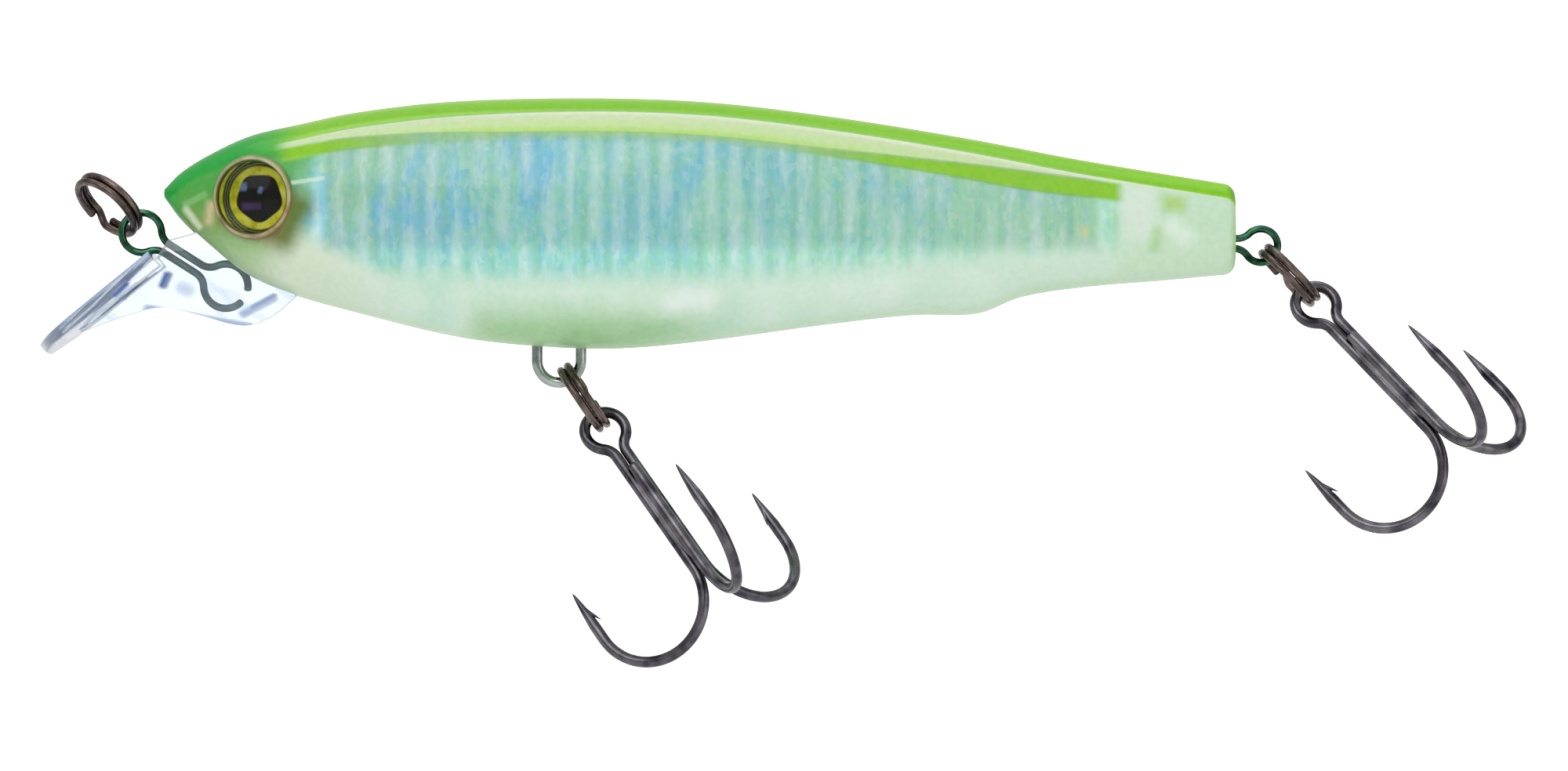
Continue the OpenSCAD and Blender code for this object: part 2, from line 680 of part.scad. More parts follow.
module transfer_ball() {
    color([0.6, 0.6, 0.62]) at_line_ring() along_tube(tube_start, tube_z)
        translate([plug_length + transfer_ball_d / 2 + moulded_fit, 0, 0]) sphere(d = transfer_ball_d);
}

module rattle_capsule() {
    color([0.9, 0.93, 0.93, 0.6]) at_line_ring() along_tube(capsule_start, capsule_z)
        closed_tube(capsule_d, capsule_bore, capsule_length);
}

module capsule_plug() {
    color([0.85, 0.85, 0.85]) at_line_ring() along_tube(capsule_start, capsule_z)
        rod(0, capsule_bore - moulded_fit, plug_length);
}

module rattle_balls() {
    color([0.6, 0.6, 0.62]) at_line_ring() along_tube(capsule_start, capsule_z) for (i = [0, 1])
        translate([plug_length + moulded_fit + rattle_ball_d / 2 + i * (rattle_ball_d + moulded_fit), 0, 0])
            sphere(d = rattle_ball_d);
}

body_left();
body_right();
diving_lip();
foil_left();
foil_right();
eye_foil_left();
eye_foil_right();
eye_dome_left();
eye_dome_right();
line_tie();
belly_hanger();
tail_hanger();
line_ring();
belly_ring();
tail_ring();
belly_double_hook();
belly_single_hook();
tail_double_hook();
tail_single_hook();
core_plate();
belly_weight();
transfer_tube();
tube_plug();
transfer_ball();
rattle_capsule();
capsule_plug();
rattle_balls();
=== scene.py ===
"""Finished look of a hard-bodied diving lure, built around its packed construction model.

Sizes are in millimetres from the nose tip (x to the tail, z up, -y the left flank) and are
turned into the frame's metres where a mesh is placed.
"""

import json
import logging
import math
from dataclasses import dataclass
from enum import Enum
from functools import reduce
from typing import Any, Callable, Iterable, Sequence

import bmesh
import bpy
from mathutils import Matrix, Vector


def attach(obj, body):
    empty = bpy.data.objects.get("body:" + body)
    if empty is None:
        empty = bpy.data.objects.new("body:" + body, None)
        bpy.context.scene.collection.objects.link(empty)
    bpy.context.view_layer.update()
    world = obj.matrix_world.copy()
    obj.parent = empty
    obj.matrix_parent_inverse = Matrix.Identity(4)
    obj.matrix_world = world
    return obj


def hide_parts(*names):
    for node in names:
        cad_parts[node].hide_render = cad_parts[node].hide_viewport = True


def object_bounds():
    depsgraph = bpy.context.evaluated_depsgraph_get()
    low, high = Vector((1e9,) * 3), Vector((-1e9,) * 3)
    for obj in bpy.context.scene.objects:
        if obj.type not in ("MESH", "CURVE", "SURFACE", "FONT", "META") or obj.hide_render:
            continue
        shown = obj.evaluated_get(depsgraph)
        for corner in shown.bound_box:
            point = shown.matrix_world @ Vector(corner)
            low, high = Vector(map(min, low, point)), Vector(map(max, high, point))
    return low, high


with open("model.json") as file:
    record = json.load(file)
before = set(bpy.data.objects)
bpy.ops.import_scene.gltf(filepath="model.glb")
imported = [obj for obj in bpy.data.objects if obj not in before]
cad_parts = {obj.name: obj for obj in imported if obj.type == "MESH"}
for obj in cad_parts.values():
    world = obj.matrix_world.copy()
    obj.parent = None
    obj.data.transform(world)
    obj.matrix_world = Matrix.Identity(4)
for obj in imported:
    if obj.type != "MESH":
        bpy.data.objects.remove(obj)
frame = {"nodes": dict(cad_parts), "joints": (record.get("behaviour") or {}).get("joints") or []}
CAD_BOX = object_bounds()
LOG = logging.getLogger("lure")
MM = 0.001
TIE_EYE = (-1.5, -2.6)  # x and z of the line tie's eye
ROOT_BODY = "lure"
WELD = 1e-7  # points closer than this, in metres, become one
CREASE = 40.0  # edges sharper than this, in degrees, stay crisp


def joint_place(name: str) -> Vector:
    """Returns the place of a joint in the frame.

    Args:
        name: The joint's name.

    Returns:
        Its point, in metres.
    """
    return Vector(next(j for j in frame["joints"] if j["name"] == name)["pos_m"])


NOSE = joint_place("line_ring_swing") - Vector((TIE_EYE[0], 0, TIE_EYE[1])) * MM


def at(x: float, y: float, z: float) -> Vector:
    """Returns the frame's point for a place measured from the nose tip.

    Args:
        x: Distance towards the tail, in millimetres.
        y: Distance towards the right flank.
        z: Height.

    Returns:
        The point in metres.
    """
    return NOSE + Vector((x, y, z)) * MM


class Side(Enum):
    """The two flanks of the lure."""

    LEFT = -1
    RIGHT = 1

    @property
    def word(self) -> str:
        """Name of the flank as used in piece names."""
        return self.name.lower()


@dataclass(frozen=True)
class Outline:
    """Smooth curve through knots of (share of the length, share of the size)."""

    knots: tuple[tuple[float, float], ...]

    def slope(self, i: int) -> float:
        """Returns the curve's slope at knot i."""
        a, b = self.knots[max(i - 1, 0)], self.knots[min(i + 1, len(self.knots) - 1)]
        return (b[1] - a[1]) / (b[0] - a[0])

    def value(self, t: float) -> float:
        """Returns the curve's height at share t of the length.

        Args:
            t: Share of the length.

        Returns:
            The share of the size.
        """
        last = len(self.knots) - 2
        i = next((k for k in range(last) if t <= self.knots[k + 1][0]), last)
        (ax, ay), (bx, by) = self.knots[i], self.knots[i + 1]
        w, u = bx - ax, (t - ax) / (bx - ax)
        keep = 1 - 3 * u * u + 2 * u ** 3
        lean = u - 2 * u * u + u ** 3
        lean_end = u ** 3 - u * u
        return ay * keep + by * (1 - keep) + w * (self.slope(i) * lean
                                                  + self.slope(i + 1) * lean_end)


BACK = Outline(((0, 0.04), (0.015, 0.21), (0.04, 0.39), (0.08, 0.6), (0.125, 0.72), (0.18, 0.85),
                (0.27, 0.965), (0.4, 1), (0.51, 0.955), (0.62, 0.81), (0.74, 0.595), (0.86, 0.34),
                (1, 0.08)))
BELLY = Outline(((0, 0.03), (0.015, 0.17), (0.04, 0.33), (0.08, 0.54), (0.125, 0.665), (0.18, 0.77),
                 (0.27, 0.92), (0.34, 0.98), (0.42, 1), (0.5, 0.955), (0.62, 0.845), (0.7, 0.785),
                 (0.76, 0.775), (0.8, 0.67), (0.86, 0.605), (0.93, 0.565), (1, 0.52)))
FLANK = Outline(((0, 0.07), (0.015, 0.27), (0.04, 0.46), (0.08, 0.68), (0.125, 0.84), (0.2, 0.96),
                 (0.3, 1), (0.42, 0.98), (0.55, 0.88), (0.7, 0.7), (0.85, 0.5), (1, 0.32)))
BLADE = Outline(((0, 0.56), (0.2, 0.66), (0.45, 0.86), (0.65, 0.98), (0.78, 1), (0.9, 0.86),
                 (1, 0.42)))


@dataclass(frozen=True)
class BodyShape:
    """Sizes and surfaces of the hollow body, in millimetres."""

    length: float = 70.0
    back_height: float = 6.2
    belly_depth: float = 10.2
    width: float = 11.0
    wall: float = 1.1
    power: float = 2.3
    tail_round: float = 0.7
    hollow_start: float = 9.8
    hollow_end: float = 62.0

    def within(self, x: float) -> float:
        """Returns the place on the body nearest to x."""
        return min(max(x, 0.0), self.length)

    def inset(self, x: float) -> float:
        """Returns how far the rounded tail edge draws the outline in at x."""
        u = x - self.length + self.tail_round
        return self.tail_round - math.sqrt(max(0.0, self.tail_round ** 2 - u * u)) if u > 0 else 0.0

    def top(self, x: float) -> float:
        """Returns the height of the back at x."""
        return BACK.value(x / self.length) * self.back_height - self.inset(x)

    def bottom(self, x: float) -> float:
        """Returns the height of the belly at x."""
        return self.inset(x) - BELLY.value(x / self.length) * self.belly_depth

    def half_width(self, x: float) -> float:
        """Returns half the width across the flanks at x."""
        return FLANK.value(x / self.length) * self.width / 2 - self.inset(x)

    def flank(self, x: float, z: float, depth: float = 0.0) -> float:
        """Returns the flank's distance from the parting plane.

        Args:
            x: Distance behind the nose tip.
            z: Height.
            depth: Depth below the outer skin.

        Returns:
            The distance in millimetres.
        """
        middle, half = (self.top(x) + self.bottom(x)) / 2, (self.top(x) - self.bottom(x)) / 2
        u = min(1.0, abs(z - middle) / (half - depth))
        return (self.half_width(x) - depth) * (1 - u ** self.power) ** (1 / self.power)

    def section(self, x: float, angle: float, depth: float = 0.0) -> tuple[float, float]:
        """Returns a point of the half section.

        Args:
            x: Distance behind the nose tip.
            angle: Angle from the back (0) to the belly (pi).
            depth: Depth below the outer skin.

        Returns:
            Distance from the parting plane, and height.
        """
        middle, half = (self.top(x) + self.bottom(x)) / 2, (self.top(x) - self.bottom(x)) / 2
        across, up = math.sin(angle), math.cos(angle)
        grow = 2 / self.power
        return ((self.half_width(x) - depth) * abs(across) ** grow,
                middle + (half - depth) * math.copysign(abs(up) ** grow, up))

    def wall_at(self, x: float) -> float:
        """Returns the wall at x, thinned where the body is small."""
        half = (self.top(x) - self.bottom(x)) / 2
        return min(self.wall, 0.4 * half, 0.4 * self.half_width(x))


BODY = BodyShape()


# ---------------------------------------------------------------- finishes


@dataclass(frozen=True)
class Mark:
    """Soft leaning patch of colour on a flank, used for paint and for painted highlights, in
    millimetres and degrees.
    """

    x: float
    z: float
    size: tuple[float, float]
    lean: float
    soft: float
    share: float
    code: str


class Graph:
    """Adds and links the nodes of one tree."""

    def __init__(self, tree: bpy.types.NodeTree) -> None:
        """Empties the tree and keeps it."""
        self.tree = tree
        self.tree.nodes.clear()

    def add(self, kind: str, feeds: dict[Any, Any] | None = None,
            **settings: Any) -> bpy.types.Node:
        """Adds a node.

        Args:
            kind: The node's type.
            feeds: Values, colour codes or sockets for its inputs.
            **settings: Properties to set on it.

        Returns:
            The node.
        """
        node = self.tree.nodes.new(kind)
        for key, value in settings.items():
            setattr(node, key, value)
        for key, value in (feeds or {}).items():
            if isinstance(value, bpy.types.NodeSocket):
                self.tree.links.new(value, node.inputs[key])
            else:
                node.inputs[key].default_value = shade(value) if isinstance(value, str) else value
        return node


class Nodes(Graph):
    """Adds and links the shader nodes of one material."""

    def __init__(self, name: str) -> None:
        """Starts an empty material under the given name.

        Args:
            name: The material's name.
        """
        self.material = bpy.data.materials.new(name)
        self.material.use_nodes = True
        super().__init__(self.material.node_tree)
        self.place = self.add("ShaderNodeTexCoord").outputs["Object"]
        axes = self.add("ShaderNodeSeparateXYZ", {0: self.place}).outputs
        self.along = self.times(self.less(axes[0], NOSE.x), 1 / MM)
        self.height = self.times(self.less(axes[2], NOSE.z), 1 / MM)

    def calc(self, operation: str, *values: Any) -> bpy.types.NodeSocket:
        """Returns the values joined one after another by math nodes.

        Args:
            operation: What each node does.
            *values: Numbers or sockets, two or more unless the operation takes one.

        Returns:
            The result.
        """
        def join(a: Any, b: Any) -> bpy.types.NodeSocket:
            """Returns the result for two of them."""
            return self.add("ShaderNodeMath", {0: a, 1: b}, operation=operation).outputs[0]

        return reduce(join, values if len(values) > 1 else (*values, 0.0))

    def plus(self, *values: Any) -> bpy.types.NodeSocket:
        """Returns the sum of the values."""
        return self.calc("ADD", *values)

    def less(self, value: Any, taken: Any) -> bpy.types.NodeSocket:
        """Returns the value with another taken away."""
        return self.calc("SUBTRACT", value, taken)

    def times(self, *values: Any) -> bpy.types.NodeSocket:
        """Returns the product of the values."""
        return self.calc("MULTIPLY", *values)

    def most(self, *values: Any) -> bpy.types.NodeSocket:
        """Returns the largest of the values."""
        return self.calc("MAXIMUM", *values)

    def mix(self, share: Any, a: Any, b: Any, way: str = "MIX") -> bpy.types.NodeSocket:
        """Returns colour a mixed with colour b by share."""
        node = self.add("ShaderNodeMix", {0: share, 6: a, 7: b}, data_type="RGBA", blend_type=way)
        return node.outputs[2]

    def step(self, value: Any, low: float, high: float, end: float = 1.0) -> bpy.types.NodeSocket:
        """Returns a smooth rise from 0 at low to end at high; low may lie above high.

        Args:
            value: What rises.
            low: Where the rise starts.
            high: Where it ends.
            end: How far it rises.

        Returns:
            The rise.
        """
        node = self.add("ShaderNodeMapRange", {"Value": value, "From Min": low, "From Max": high,
                                               "To Min": 0.0, "To Max": end},
                        interpolation_type="SMOOTHSTEP")
        return node.outputs["Result"]

    def band(self, value: Any, low: float, high: float, soft: float) -> bpy.types.NodeSocket:
        """Returns 1 between low and high, falling to 0 over soft beyond each."""
        return self.times(self.step(value, low - soft, low), self.step(value, high + soft, high))

    def spot(self, x: float, z: float, size: tuple[float, float], lean: float,
             soft: float) -> bpy.types.NodeSocket:
        """Returns 1 on a leaning patch of the flank.

        Args:
            x: Its middle behind the nose, in millimetres.
            z: Its middle's height.
            size: Half its length and half its width.
            lean: Angle of its length above the horizontal, in degrees.
            soft: Width of its soft edge.

        Returns:
            The patch's share.
        """
        c, d = math.cos(math.radians(lean)), math.sin(math.radians(lean))
        across, up = self.less(self.along, x), self.less(self.height, z)
        u = self.plus(self.times(across, c), self.times(up, d))
        v = self.less(self.times(up, c), self.times(across, d))
        return self.times(self.band(u, -size[0], size[0], soft),
                          self.band(v, -size[1], size[1], soft))

    def marked(self, colour: Any, marks: Sequence[Mark]) -> bpy.types.NodeSocket:
        """Lays soft patches over a colour.

        Args:
            colour: The colour below.
            marks: The patches in order.

        Returns:
            The colour with the patches.
        """
        for m in marks:
            patch = self.times(self.spot(m.x, m.z, m.size, m.lean, m.soft), m.share)
            colour = self.mix(patch, colour, m.code)
        return colour

    def noise(self, scale: float, detail: float = 3.0, place: Any = None,
              rough: float = 0.5) -> bpy.types.NodeSocket:
        """Returns a noise of the given cells per metre."""
        return self.add("ShaderNodeTexNoise", {"Vector": place or self.place, "Scale": scale,
                                               "Detail": detail, "Roughness": rough}).outputs["Fac"]

    def stretch(self, x: float, y: float, z: float, turn: float = 0.0) -> bpy.types.NodeSocket:
        """Returns the object place scaled along each axis after a turn about y."""
        spun = self.add("ShaderNodeMapping", {"Vector": self.place, "Rotation": (0.0, turn, 0.0)})
        return self.add("ShaderNodeMapping",
                        {"Vector": spun.outputs[0], "Scale": (x, y, z)}).outputs[0]

    def ramp(self, value: Any, *stops: tuple[float, str]) -> bpy.types.NodeSocket:
        """Returns the colour of value on a ramp of (place, colour) stops.

        Args:
            value: What is looked up on the ramp.
            *stops: Places from 0 to 1, each with its colour code.

        Returns:
            The colour.
        """
        node = self.add("ShaderNodeValToRGB", {"Fac": value})
        ramp = node.color_ramp
        while len(ramp.elements) < len(stops):
            ramp.elements.new(1.0)
        for element, (place, code) in zip(ramp.elements, stops):
            element.position, element.color = place, shade(code)
        return node.outputs["Color"]

    def measure(self, name: str) -> bpy.types.NodeSocket:
        """Returns a number that the mesh keeps at each point."""
        return self.add("ShaderNodeAttribute", attribute_name=name,
                        attribute_type="GEOMETRY").outputs["Fac"]

    def bump(self, height: Any, depth: float, strength: float = 1.0) -> bpy.types.NodeSocket:
        """Returns a normal roughened by height, depth metres deep."""
        return self.add("ShaderNodeBump", {"Height": height, "Strength": strength,
                                           "Distance": depth}).outputs["Normal"]

    def surface(self, **feeds: Any) -> bpy.types.NodeSocket:
        """Returns a principled surface; words in the names are joined by underscores."""
        named = {key.replace("_", " "): value for key, value in feeds.items()}
        return self.add("ShaderNodeBsdfPrincipled", named).outputs[0]

    def finish(self, shader: bpy.types.NodeSocket) -> bpy.types.Material:
        """Links the shader to the output and returns the material."""
        self.add("ShaderNodeOutputMaterial", {"Surface": shader})
        return self.material


def shade(code: str) -> tuple[float, float, float, float]:
    """Returns a linear colour from its six-digit display code.

    Args:
        code: The display code.

    Returns:
        Its linear colour, opaque.
    """
    parts = [int(code[i:i + 2], 16) / 255 for i in (0, 2, 4)]
    line = [p / 12.92 if p <= 0.04045 else ((p + 0.055) / 1.055) ** 2.4 for p in parts]
    return (*line, 1.0)


@dataclass(frozen=True)
class ClearCoat:
    """A see-through skin that keeps its surface reflections."""

    tint: str = "f4fbf6"
    roughness: float = 0.05
    ior: float = 1.5

    def shader(self, nodes: Nodes, tint: Any = None) -> bpy.types.NodeSocket:
        """Returns the clear shader, with a tint socket if one is given.

        Args:
            nodes: The node graph of the material.
            tint: Colour of what passes through.

        Returns:
            The shader.
        """
        clear = nodes.add("ShaderNodeBsdfTransparent", {"Color": tint or self.tint}).outputs[0]
        gloss = nodes.add("ShaderNodeBsdfGlossy",
                          {"Color": (1, 1, 1, 1), "Roughness": self.roughness}).outputs[0]
        edge = nodes.add("ShaderNodeFresnel", {"IOR": self.ior}).outputs[0]
        return nodes.add("ShaderNodeMixShader", {0: edge, 1: clear, 2: gloss}).outputs[0]


@dataclass(frozen=True)
class Holographic:
    """Pressed foil with blue flashes, a painted highlight on each rib crest and painted shade
    between the ribs.
    """

    name: str = "holographic_foil"
    rib_pitch: float = 1.5
    first_rib: float = 10.35

    def tone(self, n: Nodes) -> tuple[bpy.types.NodeSocket, bpy.types.NodeSocket]:
        """Returns the foil's colour and the height of its grain.

        Args:
            n: The node graph of the material.

        Returns:
            The colour, and the height.
        """
        x, z = n.along, n.height
        flakes = n.add("ShaderNodeTexVoronoi",
                       {"Vector": n.stretch(1.0, 1.0, 0.6), "Scale": 3200.0})
        patches = n.noise(300.0, 5.0, n.stretch(1.0, 0.3, 0.55), 0.66)
        streaks = n.noise(900.0, 4.0, n.stretch(1.0, 0.3, 0.22), 0.6)
        base = n.ramp(n.step(x, 8.0, 62.0), (0.0, "98d4b0"), (0.2, "90dacb"), (0.6, "9adfc6"),
                      (1.0, "aae2ba"))
        cool = n.most(n.times(n.step(x, 58.0, 18.0), n.step(z, -6.2, -0.5)),
                      n.times(n.step(z, -2.5, 0.5), 0.5))
        flash = n.times(n.step(patches, 0.42, 0.6), n.plus(n.times(cool, 0.8), 0.08))
        base = n.mix(flash, base, "6cc4ee")
        wave = n.calc("COSINE", n.times(n.less(x, self.first_rib), 2 * math.pi / self.rib_pitch))
        rib = n.plus(n.times(wave, 0.5), 0.5)
        # painted highlights along the rib crests, then painted shade in the valleys between them
        base = n.mix(n.times(rib, n.step(streaks, 0.38, 0.62), 0.6), base, "d4f0ea")
        base = n.mix(n.times(n.step(rib, 0.4, 0.0), n.step(streaks, 0.62, 0.4), 0.45), base,
                     "86c6a8")
        bits = n.add("ShaderNodeSeparateColor", {0: flakes.outputs["Color"]}).outputs
        sparkle = n.ramp(bits[0], (0.0, "4f9fe6"), (0.3, "9fdccb"), (0.55, "b4e39c"),
                         (0.75, "bcb0e2"), (0.9, "f2faf6"))
        return n.mix(0.13, base, sparkle), n.plus(n.times(bits[1], 0.5), streaks)

    def build(self) -> bpy.types.Material:
        """Returns the material.

        Returns:
            The material.
        """
        n = Nodes(self.name)
        base, grain = self.tone(n)
        foil = n.surface(Base_Color=base, Metallic=0.25, Roughness=0.42, Coat_Weight=0.3,
                         Coat_Roughness=0.2,
                         Normal=n.bump(grain, 0.0001, 0.5))
        return n.finish(foil)


TAIL_MARKS = (Mark(63.6, -1.3, (1.2, 0.5), -80.0, 1.3, 0.6, "dfeadf"),
              Mark(65.9, -0.75, (0.3, 0.05), -8.0, 0.9, 0.85, "a9cf6c"),
              Mark(64.7, -3.1, (0.5, 0.02), 80.0, 0.7, 0.65, "a4cf8a"),
              Mark(66.2, -2.6, (0.5, 0.05), -40.0, 1.1, 0.7, "e2f0e2"),
              Mark(60.0, -2.6, (0.15, 0.15), 0.0, 0.5, 0.6, "d6e3a6"))
# the first jaw mark is a painted highlight along the mouth crease, the second a pale green mark
JAW_HIGHLIGHT_AND_MARK = (Mark(2.0, -1.7, (0.7, 0.01), -52.0, 0.4, 0.8, "dfeccb"),
             Mark(2.2, -0.5, (0.8, 0.08), 25.0, 0.25, 0.4, "9bd48c"))
# painted highlight: a thin near-white glint on the cheek behind the eye
CHEEK_PAINTED_GLINT = (Mark(9.3, 0.6, (1.5, 0.05), 8.0, 0.16, 0.6, "d9ecd6"),)


@dataclass(frozen=True)
class ShellPaint:
    """Paint of the clear shell: lime back, clear flank windows, pearl belly and green head, with
    painted highlights, reflection and shade.
    """

    name: str = "shell_paint"

    def pearl(self, n: Nodes, cloud: Any) -> bpy.types.NodeSocket:
        """Returns the belly's pearl with its greener pool low behind the throat.

        Args:
            n: The node graph of the material.
            cloud: The paint's soft cloud.

        Returns:
            The colour.
        """
        x, z, rise = n.along, n.height, n.measure("above_belly")
        pearl = n.ramp(cloud, (0.3, "c0e4d0"), (0.5, "cfe8d4"), (0.7, "deeee2"))
        pearl = n.mix(n.step(x, 40.0, 60.0, 0.7), pearl, "cde5cf")
        pearl = n.mix(n.times(n.step(x, 17.0, 9.0), 0.75), pearl, "d5e0c6")
        drift = n.times(n.less(cloud, 0.5), 3.0)
        pool = n.times(n.step(n.plus(x, drift), 18.6, 21.6), n.step(n.plus(x, drift), 39.0, 30.0),
                      n.step(n.plus(z, n.times(drift, 0.4)), -6.4, -9.4), 0.95)
        pearl = n.mix(pool, pearl, n.ramp(n.noise(420.0, 2.0), (0.3, "a6cf9c"), (0.7, "98c88c")))
        pearl = n.mix(n.times(n.step(rise, 0.9, 0.0), 0.45), pearl, "a9d19a")
        # painted highlights: two near-white flares at the ends of the green pool
        flare = n.most(n.spot(18.9, -8.0, (0.2, 0.2), 80.0, 1.6),
                       n.spot(34.5, -7.1, (1.2, 0.1), 6.0, 1.2))
        return n.mix(n.times(flare, n.step(cloud, 0.35, 0.62), 0.5), pearl, "edf6f1")

    def tail(self, n: Nodes, colour: Any) -> bpy.types.NodeSocket:
        """Returns the colour with the milky solid tail and its softer green marks.

        Args:
            n: The node graph of the material.
            colour: The colour below.

        Returns:
            The colour.
        """
        x = n.along
        colour = n.mix(n.times(n.step(x, 61.4, 63.0), 0.9), colour, "c5e0c2")
        colour = n.marked(colour, TAIL_MARKS)
        return n.mix(n.times(n.step(x, 69.5, 70.0), 0.6), colour, "acd878")

    def head(self, n: Nodes, colour: Any, cloud: Any, deep: Any) -> bpy.types.NodeSocket:
        """Returns the colour with the jaw, cheek and crown, painted shade round the eye and painted
        highlights on the mouth and cheek.

        Args:
            n: The node graph of the material.
            colour: The colour below.
            cloud: The paint's soft cloud.
            deep: Depth below the back.

        Returns:
            The colour.
        """
        x, z = n.along, n.height
        lean = n.plus(x, n.times(z, -0.45))
        head = n.step(lean, 11.0, 7.6)
        jaw = n.ramp(n.step(z, -6.0, 1.0), (0.0, "b9d0a6"), (0.3, "97bd80"), (0.6, "7a9e4e"),
                     (1.0, "4aa544"))
        colour = n.mix(head, colour, jaw)
        # painted shade: brown to olive shadow round and behind the raised eye, over smoky paint
        smoke = n.times(n.spot(7.3, -1.2, (1.6, 1.1), -30.0, 1.7), 0.97)
        colour = n.mix(smoke, colour, n.mix(n.step(x, 6.6, 8.8), "7a5826", "5f7428"))
        # partly painted highlight: a pale tan streak in front of the eye, over a brownish-pink
        # blush
        blush_and_highlight = n.times(n.spot(3.2, -1.4, (0.5, 0.02), 80.0, 0.6), n.step(cloud, 0.3, 0.5), 0.85)
        colour = n.mix(blush_and_highlight, colour, "dcc49c")
        colour = n.marked(colour, JAW_HIGHLIGHT_AND_MARK)
        colour = n.mix(n.step(n.plus(x, n.times(cloud, 1.2)), 2.6, 0.9, 0.9), colour, "3bb44c")
        colour = n.marked(colour, CHEEK_PAINTED_GLINT)
        edge = n.plus(deep, n.times(n.step(x, 2.0, 6.0), -0.5))
        crown = n.times(n.step(x, 10.8, 8.2), n.step(edge, 1.5, 0.9))
        return n.mix(crown, colour, n.mix(n.step(x, 4.5, 10.0), "17a338", "55b81c"))

    def build(self) -> bpy.types.Material:
        """Returns the material.

        Returns:
            The material.
        """
        n = Nodes(self.name)
        x, z, deep = n.along, n.height, n.measure("below_back")
        cloud, fine = n.noise(260.0, 4.0), n.noise(2600.0, 3.0)
        drift = n.times(n.less(cloud, 0.5), 2.2)

        # pearl below, foil colours above a line that falls from the jaw and rises to the tail
        falling = n.step(x, 7.5, 17.0, 3.2)
        rising = n.step(x, 34.0, 62.0, 1.9)
        low = n.plus(z, drift, n.less(falling, rising))
        shine, _ = Holographic().tone(n)
        colour = n.mix(n.step(low, -1.4, -3.4), shine, self.pearl(n, cloud))
        cover = n.most(n.step(z, -3.0, -4.4), n.step(x, 60.3, 61.4), n.step(x, 11.6, 10.4))
        cover = n.plus(n.times(cover, 0.22), 0.76)
        colour = self.tail(n, colour)
        colour = self.head(n, colour, cloud, deep)

        # the painted back: second line, a pale band of painted reflection along the shoulder, and
        # stripe
        upper = n.plus(1.5, n.less(n.step(x, 5.0, 24.0, 0.9), n.step(x, 38.0, 68.0, 1.35)))
        lower = n.plus(2.45, n.less(n.step(x, 8.0, 18.0, 0.35), n.step(x, 55.0, 63.0, 0.45)))
        bold = n.most(n.step(x, 19.0, 11.0), n.step(x, 38.0, 48.0))
        past = n.less(deep, upper)
        line = n.times(n.step(past, -0.12, 0.12), n.step(n.less(deep, lower), 0.18, -0.18),
                      n.step(x, 7.4, 8.6), n.step(x, 62.9, 61.9), n.plus(n.times(bold, 0.45), 0.5))
        colour = n.mix(line, colour, n.mix(bold, "a9d66e", "86c400"))
        thick = n.less(deep, n.step(x, 30.0, 14.0, 0.18))
        # painted reflection: the pale band below the stripe stands for light caught in the clear
        # plastic along the back's shoulder
        pale_painted_reflection = n.times(n.step(thick, 0.9, 1.05), n.step(past, 0.12, -0.12), n.step(x, 7.2, 8.6),
                       n.step(x, 69.6, 68.8))
        share = n.calc("DIVIDE", n.less(deep, 0.95), 1.4)
        colour = n.mix(pale_painted_reflection, colour, n.ramp(share, (0.0, "dde9cc"), (0.25, "c6d8ac"),
                                            (0.7, "bfdb98"), (1.0, "acd664")))
        lime = n.ramp(deep, (0.0, "97cf1c"), (0.3, "7fc600"), (0.8, "78be00"), (1.0, "8cca30"))
        stripe = n.times(n.step(thick, 1.04, 0.92), n.step(x, 7.0, 9.6))
        colour = n.mix(stripe, colour, lime)
        colour = n.mix(n.times(n.step(x, 69.3, 69.9), n.step(deep, 1.0, 0.5), 0.6), colour,
                       "5f8a1a")
        cover = n.most(cover, line, pale_painted_reflection, stripe)

        colour = n.mix(0.12, colour, n.ramp(fine, (0.35, "7f9f78"), (0.65, "ffffff")), "SOFT_LIGHT")
        paint = n.surface(Base_Color=colour, Roughness=n.plus(n.times(fine, 0.12), 0.34),
                          Coat_Weight=0.35, Coat_Roughness=0.08, Coat_IOR=1.45,
                          Specular_IOR_Level=0.25,
                          Normal=n.bump(n.noise(700.0, 2.0), 0.00002, 0.3))
        clear = ClearCoat(roughness=0.1).shader(n)
        return n.finish(n.add("ShaderNodeMixShader", {0: cover, 1: clear, 2: paint}).outputs[0])


@dataclass(frozen=True)
class Steel:
    """Drawn and plated wire with faint draw lines and darker worn patches."""

    name: str
    light: str
    dark: str
    roughness: float = 0.2

    def build(self) -> bpy.types.Material:
        """Returns the material.

        Returns:
            The material.
        """
        n = Nodes(self.name)
        patches = n.noise(700.0, 4.0)
        grain = n.noise(5200.0, 2.0)
        colour = n.ramp(patches, (0.32, self.dark), (0.68, self.light))
        rough = n.plus(n.times(grain, 0.16), self.roughness - 0.06)
        return n.finish(n.surface(Base_Color=colour, Metallic=1.0, Roughness=rough,
                                  Normal=n.bump(grain, 0.00001, 0.4)))


@dataclass(frozen=True)
class MouldedPlastic:
    """Moulded plastic with a faint eggshell grain."""

    name: str
    light: str
    dark: str
    roughness: float = 0.4

    def build(self) -> bpy.types.Material:
        """Returns the material.

        Returns:
            The material.
        """
        n = Nodes(self.name)
        cloud, grain = n.noise(420.0, 3.0), n.noise(4200.0, 2.0)
        colour = n.ramp(cloud, (0.3, self.dark), (0.7, self.light))
        rough = n.plus(n.times(grain, 0.15), self.roughness)
        return n.finish(n.surface(Base_Color=colour, Roughness=rough,
                                  Normal=n.bump(grain, 0.00002, 0.3)))


